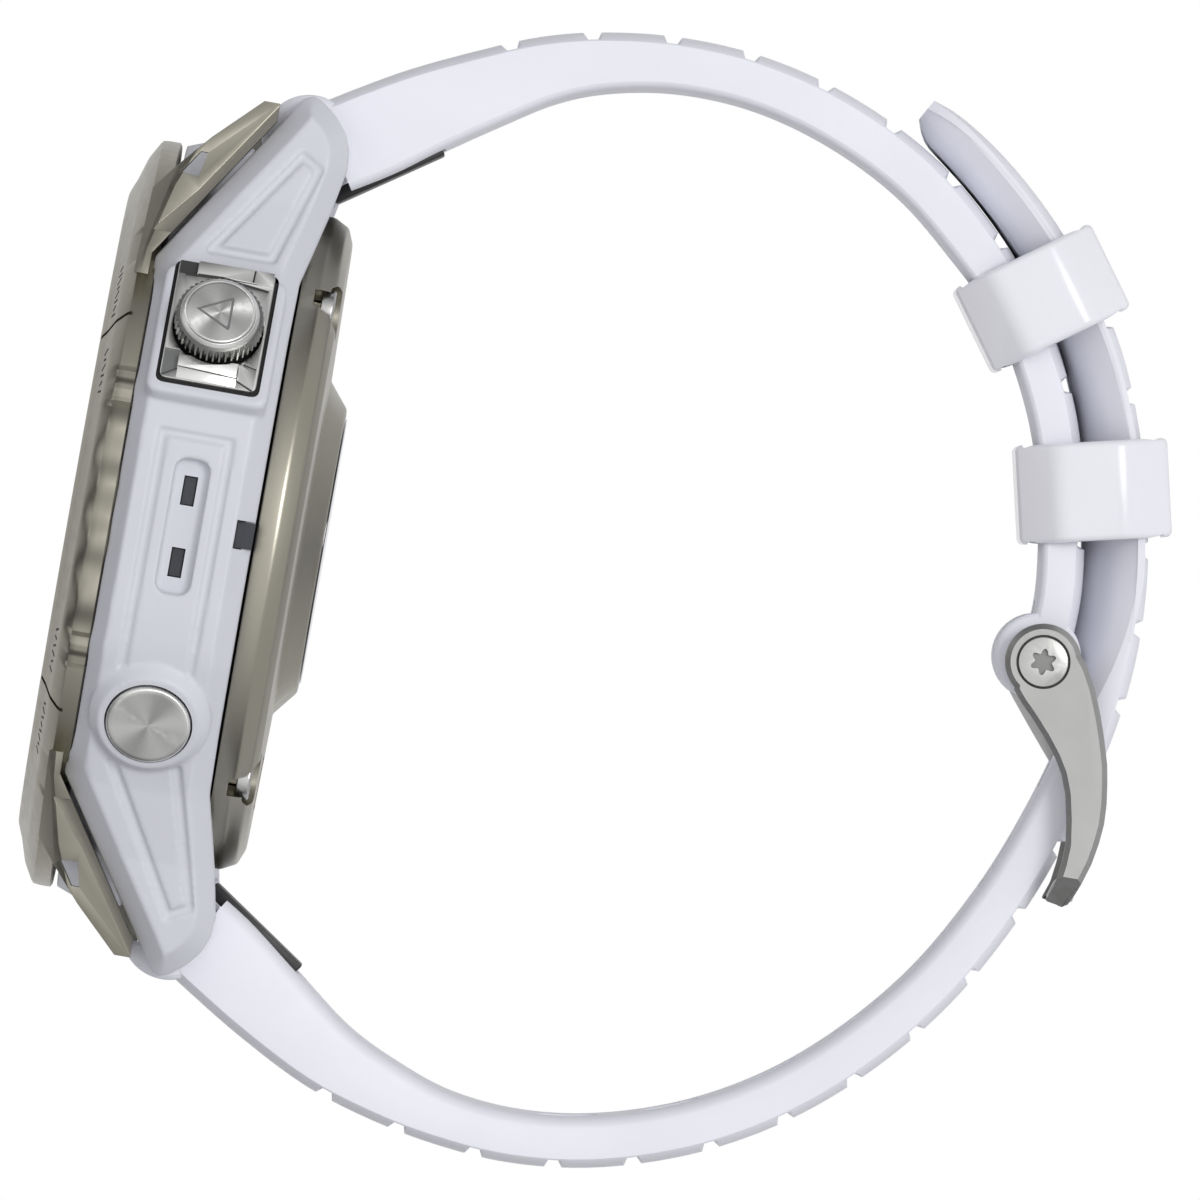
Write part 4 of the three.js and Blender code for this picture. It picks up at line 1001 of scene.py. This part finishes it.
def nearest(points, y, z):
    """How far along a strap's middle line its nearest point to (y, z) is."""
    line = spline(points)
    return float(lengths(line)[np.argmin(np.hypot(line[:, 0] - y, line[:, 1] - z))])


def place_on(points, at):
    """The point and direction at a length along a strap's middle line."""
    line = spline(points)
    s = lengths(line)
    y, z, ahead_y, ahead_z = (float(np.interp(at + d, s, line[:, k])) for d in (0, 0.2) for k in range(2))
    return y, z, math.atan2(ahead_z - z, ahead_y - y)


def box_on(y, z, turn, half_x, half_along, half_through, corner):
    """A box with rounded corners lying on a strap: outline across X and along the strap."""
    outline = rounded(rectangle(-half_x, half_x, -half_along, half_along), corner, 5)
    shape = prism(outline, -half_through, half_through, "Z")
    turned(shape, Matrix.Rotation(turn, 4, "X"))
    return turned(shape, Matrix.Translation((0, y, z)))


def latch_frame(side):
    """A latch's top and low end, its direction and its outward side, as (y, z)."""
    top, low = Vector((side * 19.45, 2.15)), Vector((side * 23.1, -2.65))
    d = (low - top).normalized()
    return top, low, d, Vector((d.y, -d.x)) * side


def latch_prism(side, half_x, grow, into, proud, start):
    top, low, d, out = latch_frame(side)
    a, b = top + d * (start - grow), low + d * grow
    thin = proud - 0.35 if proud < 1 else proud
    outline = [a + out * thin, b + out * proud, b - out * into, a - out * into]
    return prism(outline, -half_x - grow, half_x + grow)


BARREL_Y, BARREL_Z, BARREL_R = 1.15, -40.0, 2.4
BUCKLE_Y, BUCKLE_Z = 0.9, -40.33
BUCKLE_BORE_R = 0.83
HOLE_PITCH = 6.1
PIN_SLOT_R = 1.05


def about_buckle(r, low, high, segments=72):
    """A round bar on the buckle's axis."""
    return bar(BUCKLE_Y, BUCKLE_Z, r, low, high, segments)


def build_strap_12():
    first = nearest(LINE_12, 28.0, -6.2)
    last = nearest(LINE_12, 5.0, -40.6)
    treads = np.arange(first, last, TREAD_PITCH)
    body = strap(LINE_12, 0.75, treads, outward=-1)
    half = ROOT_WIDTH / 2
    knuckle = bevel(bar(PIN_Y, PIN_Z, 2.6, -half, half, 72), 0.5, 3)
    barrel = bevel(bar(BARREL_Y, BARREL_Z, BARREL_R, -END_WIDTH / 2, END_WIDTH / 2, 72), 0.35, 3)
    join(body, knuckle, barrel)
    cut(body, bar(PIN_Y, PIN_Z, 1.0, -12, 12, 40), about_buckle(BUCKLE_BORE_R, -15, 15, 40),
        block(-1.9, 1.9, -3, 4.2, -44, -37), latch_prism(1, 4.0, 0.15, 0.95, 4, -1.4))
    piece(body, "band_12_oclock", "band", "white_silicone", ["strap_12"], 26)


def build_strap_6():
    def tuck(share):
        return 0.12 + 0.88 * smooth_step(share, 0.6, 0.72)

    first = nearest(LINE_6, -27.9, -6.0)
    total = float(lengths(spline(LINE_6))[-1])
    treads = np.arange(first, total - 7.0, TREAD_PITCH)
    body = strap(LINE_6, 0.45, treads, outward=1, tuck_at=tuck, swell_at=tail_swell, tip=TIP_NARROW)
    half = ROOT_WIDTH / 2
    join(body, bevel(bar(-PIN_Y, PIN_Z, 2.68, -half, half, 80), 0.5, 3))
    tongue_at = nearest(LINE_6, -5.1, -42.95)
    cutters = [bar(-PIN_Y, PIN_Z, PIN_SLOT_R, -12, 12, 40),
               block(-11, 11, -PIN_Y - PIN_SLOT_R, -PIN_Y + PIN_SLOT_R, PIN_Z, PIN_Z + 5),
               latch_prism(-1, 4.0, 0.15, 0.95, 4, -1.4),
               box_on(-6.05, -43.35, math.atan2(-0.69, -0.72), 2.1, 3.7, 1.35, 0.9)]
    for count in [-6, -5, -4, -3, -2, -1, 1, 2, 3, 4]:
        y, z, turn = place_on(LINE_6, tongue_at + count * HOLE_PITCH)
        cutters.append(box_on(y, z, turn, 2.1, 1.7, 3, 1.1))
    cut(body, *cutters)
    piece(body, "band_6_oclock", "band", "white_silicone", ["strap_6"], 26)


def build_latches():
    for name, side in (("latch_12", 1), ("latch_6", -1)):
        lever = latch_prism(side, 4.0, 0, 0.8, 0.3, -0.6)
        top, low, d, out = latch_frame(side)
        grips = []
        for k in range(3):
            at = top + d * (1.4 + 0.7 * k) + out * 0.45
            grips.append(bar(at.x, at.y, 0.25, -2.6, 2.6, 24))
        bevel(lever, 0.15)
        cut(lever, *grips)
        piece(lever, f"{name}_lever", name, "latch_plastic", [name])


build_strap_12()
build_strap_6()
build_latches()

# ---- keepers ----

# Name, middle (y, z), direction along the band, and the size through and along the band.
KEEPERS = [("keeper_upper", 20.75, -36.81, (-0.809, -0.588), 8.4, 5.2),
           ("keeper_lower", 10.7, -41.46, (-0.974, -0.225), 8.45, 5.5)]
KEEPER_WALL = 0.42


def build_keepers():
    for name, y, z, (dy, dz), through, along in KEEPERS:
        t = through / 2
        quarter = [(10.25, 1.95), (8.35, t - 0.12), (8.1, t)]
        outer = quarter + [(-x, n) for x, n in reversed(quarter)]
        outer += [(-x, -n) for x, n in outer]
        wall = t - KEEPER_WALL
        hole = [(9.55, 1.8), (8.6, wall), (-8.6, wall), (-9.55, 1.8)]
        hole += [(-x, -n) for x, n in hole]
        loop = cut(chamfered(rounded(outer, 0.7, 5), -along / 2, along / 2, 0.35, 5, "Z"),
                   prism(rounded(hole, 0.25, 3), -along, along, "Z"))
        across = Vector((1, 0, 0))
        forward = Vector((0, dy, dz)).normalized()
        out = forward.cross(across)
        turned(loop, Matrix.Translation((0, y, z)) @ Matrix((across, out, forward)).transposed().to_4x4())
        piece(loop, f"{name}_loop", name, "gloss_white", [name], 24)


build_keepers()

# ---- buckle ----

ARM = [(1.9, -42.1), (1.0, -42.8), (-0.1, -43.4), (-1.45, -43.95), (-2.75, -44.4), (-4.1, -44.8),
       (-5.2, -45.0), (-6.3, -45.15), (-7.4, -45.2), (-8.5, -45.1), (-9.65, -44.9), (-10.8, -44.55),
       (-11.6, -44.25), (-12.5, -43.8), (-12.1, -42.75), (-11.1, -43.1), (-9.95, -43.25),
       (-8.85, -43.3), (-7.5, -43.1), (-6.1, -42.8), (-5.05, -42.4), (-4.15, -41.85), (-3.2, -41.1),
       (-2.25, -40.25), (-1.5, -39.5), (-0.9, -39.0), (0.9, -38.9)]
TONGUE = [(0.9, -38.2), (-0.35, -38.5), (-1.05, -38.9), (-2.65, -40.2), (-3.9, -41.25), (-4.9, -42.1),
          (-6.2, -43.1), (-7.4, -43.75), (-8.6, -43.95), (-10.3, -43.97), (-12.0, -43.95), (-12.0, -44.35),
          (-10.3, -44.45), (-8.5, -44.5), (-7.1, -44.35), (-5.6, -43.8), (-4.3, -42.8), (-3.1, -41.75),
          (-1.6, -40.55), (-0.4, -39.9)]
HUB_R = 2.12
ARM_X = (9.7, 11.7)
ARM_CHAMFER = 0.3
CROSSBAR = [(-10.9, -43.3), (-10.9, -44.4), (-11.6, -44.15), (-12.35, -43.75), (-12.05, -42.95)]


def span(side, near, far):
    """The low and high end of a stretch along X, on either side."""
    return sorted((side * near, side * far))


def build_buckle():
    arms = []
    for side in (1, -1):
        low, high = span(side, *ARM_X)
        hub = circle(HUB_R, (BUCKLE_Y, BUCKLE_Z), 96)
        arm = join(chamfered(rounded(ARM[::-1], 0.12, 2), low, high, ARM_CHAMFER),
                   chamfered(hub, low, high, ARM_CHAMFER))
        shaved(arm, (side * (ARM_X[1] - 0.1), -10.7, -44.2), (side * 0.66, -0.75, 0))
        cut(arm, about_buckle(1.5, *span(side, ARM_X[1] - 0.6, ARM_X[1] + 2)))
        arms.append(arm)
    crossbar = prism(rounded(CROSSBAR, 0.2, 3), -9.75, 9.75)
    cut(crossbar, block(-2, 2, -13, -10, -46, -43.55))
    loop = join(*arms, crossbar)
    cut(loop, about_buckle(BUCKLE_BORE_R, -15, 15, 40))
    piece(loop, "buckle_loop", "frame", "buckle_steel", ["buckle_frame"])

    tongue = join(prism(rounded(TONGUE, 0.5, 3), -1.5, 1.5), about_buckle(2.1, -1.5, 1.5))
    bevel(tongue, 0.2, 3, 35)
    cut(tongue, about_buckle(BUCKLE_BORE_R, -5, 5, 40))
    piece(tongue, "buckle_prong", "tongue", "buckle_steel", ["buckle_tongue"])

    face = ARM_X[1] + 0.05
    recess = [(BUCKLE_Y + y, BUCKLE_Z + z) for y, z in star(0.74)]
    for name, side in (("right", 1), ("left", -1)):
        screw = bevel(about_buckle(1.38, *span(side, face - 0.6, face)), 0.07, 2)
        cut(screw, prism(recess, *span(side, face - 0.28, face + 1)))
        piece(screw, f"buckle_screw_head_{name}", "band", "steel", [f"buckle_screw_{name}"])
        # A darker sheet on the floor of the drive recess: painted shade.
        drive = prism(recess, *span(side, face - 0.32, face - 0.24))
        piece(drive, f"buckle_screw_drive_{name}", "band", "steel", look="drive_shade_grey")
        shade = cut(about_buckle(1.49, *span(side, face - 0.4, face - 0.2)), about_buckle(1.37, -13, 13))
        piece(shade, f"buckle_screw_gap_{name}", "frame", "steel", look="groove_shade")


build_buckle()

# ---- carried CAD nodes ----

# Nodes that are shown as they are in the CAD, by material.
BUTTONS = ["start", *PLAIN_AZIMUTHS]
CARRIED = {
    "port_mesh": ["port_screen_upper", "port_screen_lower", "port_screen_rear"],
    "black_rubber": ["lens_gasket", "rear_gasket", *[f"{name}_seal" for name in BUTTONS]],
    "dark_plastic": ["chassis", *[f"{name}_switch" for name in BUTTONS]],
    "circuit_board": ["main_board", "sensor_board"],
    "battery_foil": ["battery"],
    "steel": ["vibration_motor", "pressure_sensor", "lug_pin_12", "lug_pin_6", "buckle_bar"],
    "gold_plate": ["gps_antenna", *[f"charge_contact_{k}" for k in (1, 2, 3, 4)]],
}
for look, names in CARRIED.items():
    for node_name in names:
        dress(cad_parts[node_name], look)

# ---- stage and light ----

FLOOR_HALF = 120
FLOOR_DROP = 11.0
FLOOR_GLOW, FLOOR_GLOW_SEEN = 0.18, 0.7


def build_stage():
    """A plain pale floor, low enough for the band to swing over it.
    It glows more to the camera than it lights the watch, and it lets the key light through."""
    corners = [(x, y, 0) for x, y in rectangle(-FLOOR_HALF, FLOOR_HALF, -FLOOR_HALF, FLOOR_HALF)]
    floor = made(corners, [range(4)], "floor")
    floor.scale = (MM, MM, MM)
    floor.location.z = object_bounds()[0].z - FLOOR_DROP * MM
    tree, node = shader("floor_white", Roughness=0.9, Specular_IOR_Level=0.0, Emission_Color=(1, 1, 1))
    seen = add(tree, "ShaderNodeLightPath").outputs["Is Camera Ray"]
    glow = ranged(tree, seen, FLOOR_GLOW, FLOOR_GLOW_SEEN, 0, 1)
    tone = ranged(tree, noise(tree, 0.01, 2), 0, 1)
    base = mixed(tree, tone, (0.88, 0.88, 0.88), (0.9, 0.9, 0.9))
    connect(tree, node, Emission_Strength=glow, Base_Color=base)
    dress(floor, "floor_white")
    floor.visible_shadow = False


def area_light(name, place, size, power, colour=(1, 1, 1)):
    light = bpy.data.lights.new(name, "AREA")
    light.shape = "DISK"
    light.size = size
    light.energy = power
    light.color = colour
    obj = linked(name, light)
    obj.location = place
    obj.rotation_mode = "QUATERNION"
    obj.rotation_quaternion = (Vector(place) - VIEW_CENTRE).to_track_quat("Z", "Y")


# Brightness of the surround from 9 o'clock (0) to 3 o'clock (1), darker across the middle.
SURROUND = [(0.0, 0.8), (0.3, 0.5), (0.42, 0.08), (0.56, 0.08), (0.78, 0.48), (1.0, 0.96)]


def build_light():
    """Soft light, strongest from 3 o'clock and below, and a surround that the camera sees as white."""
    area_light("key", (1.0, 0.27, -0.48), 0.45, 4.3)
    area_light("top", (0.4, 0.3, 1.2), 0.9, 1.2, (0.97, 0.98, 1))
    world = bpy.data.worlds.new("surround")
    SCENE.world = world
    world.use_nodes = True
    tree = world.node_tree
    tree.nodes.clear()
    direction = add(tree, "ShaderNodeTexCoord").outputs["Generated"]
    parts = add(tree, "ShaderNodeSeparateXYZ", Vector=direction)
    ramp = add(tree, "ShaderNodeValToRGB")
    tree.links.new(ranged(tree, parts.outputs["X"], 0, 1, -1, 1), ramp.inputs["Fac"])
    stops = ramp.color_ramp.elements
    for at, _ in SURROUND[1:-1]:
        stops.new(at)
    for stop, (at, grey) in zip(stops, SURROUND):
        stop.position = at
        stop.color = (grey, grey, grey * 1.02, 1)
    glow = add(tree, "ShaderNodeBackground", Color=ramp.outputs["Color"])
    plain = add(tree, "ShaderNodeBackground", Color=(1, 1, 1))
    seen = add(tree, "ShaderNodeLightPath").outputs["Is Camera Ray"]
    pick = add(tree, "ShaderNodeMixShader", Fac=seen)
    tree.links.new(glow.outputs["Background"], pick.inputs[1])
    tree.links.new(plain.outputs["Background"], pick.inputs[2])
    add(tree, "ShaderNodeOutputWorld", Surface=pick.outputs["Shader"])


build_stage()
build_light()
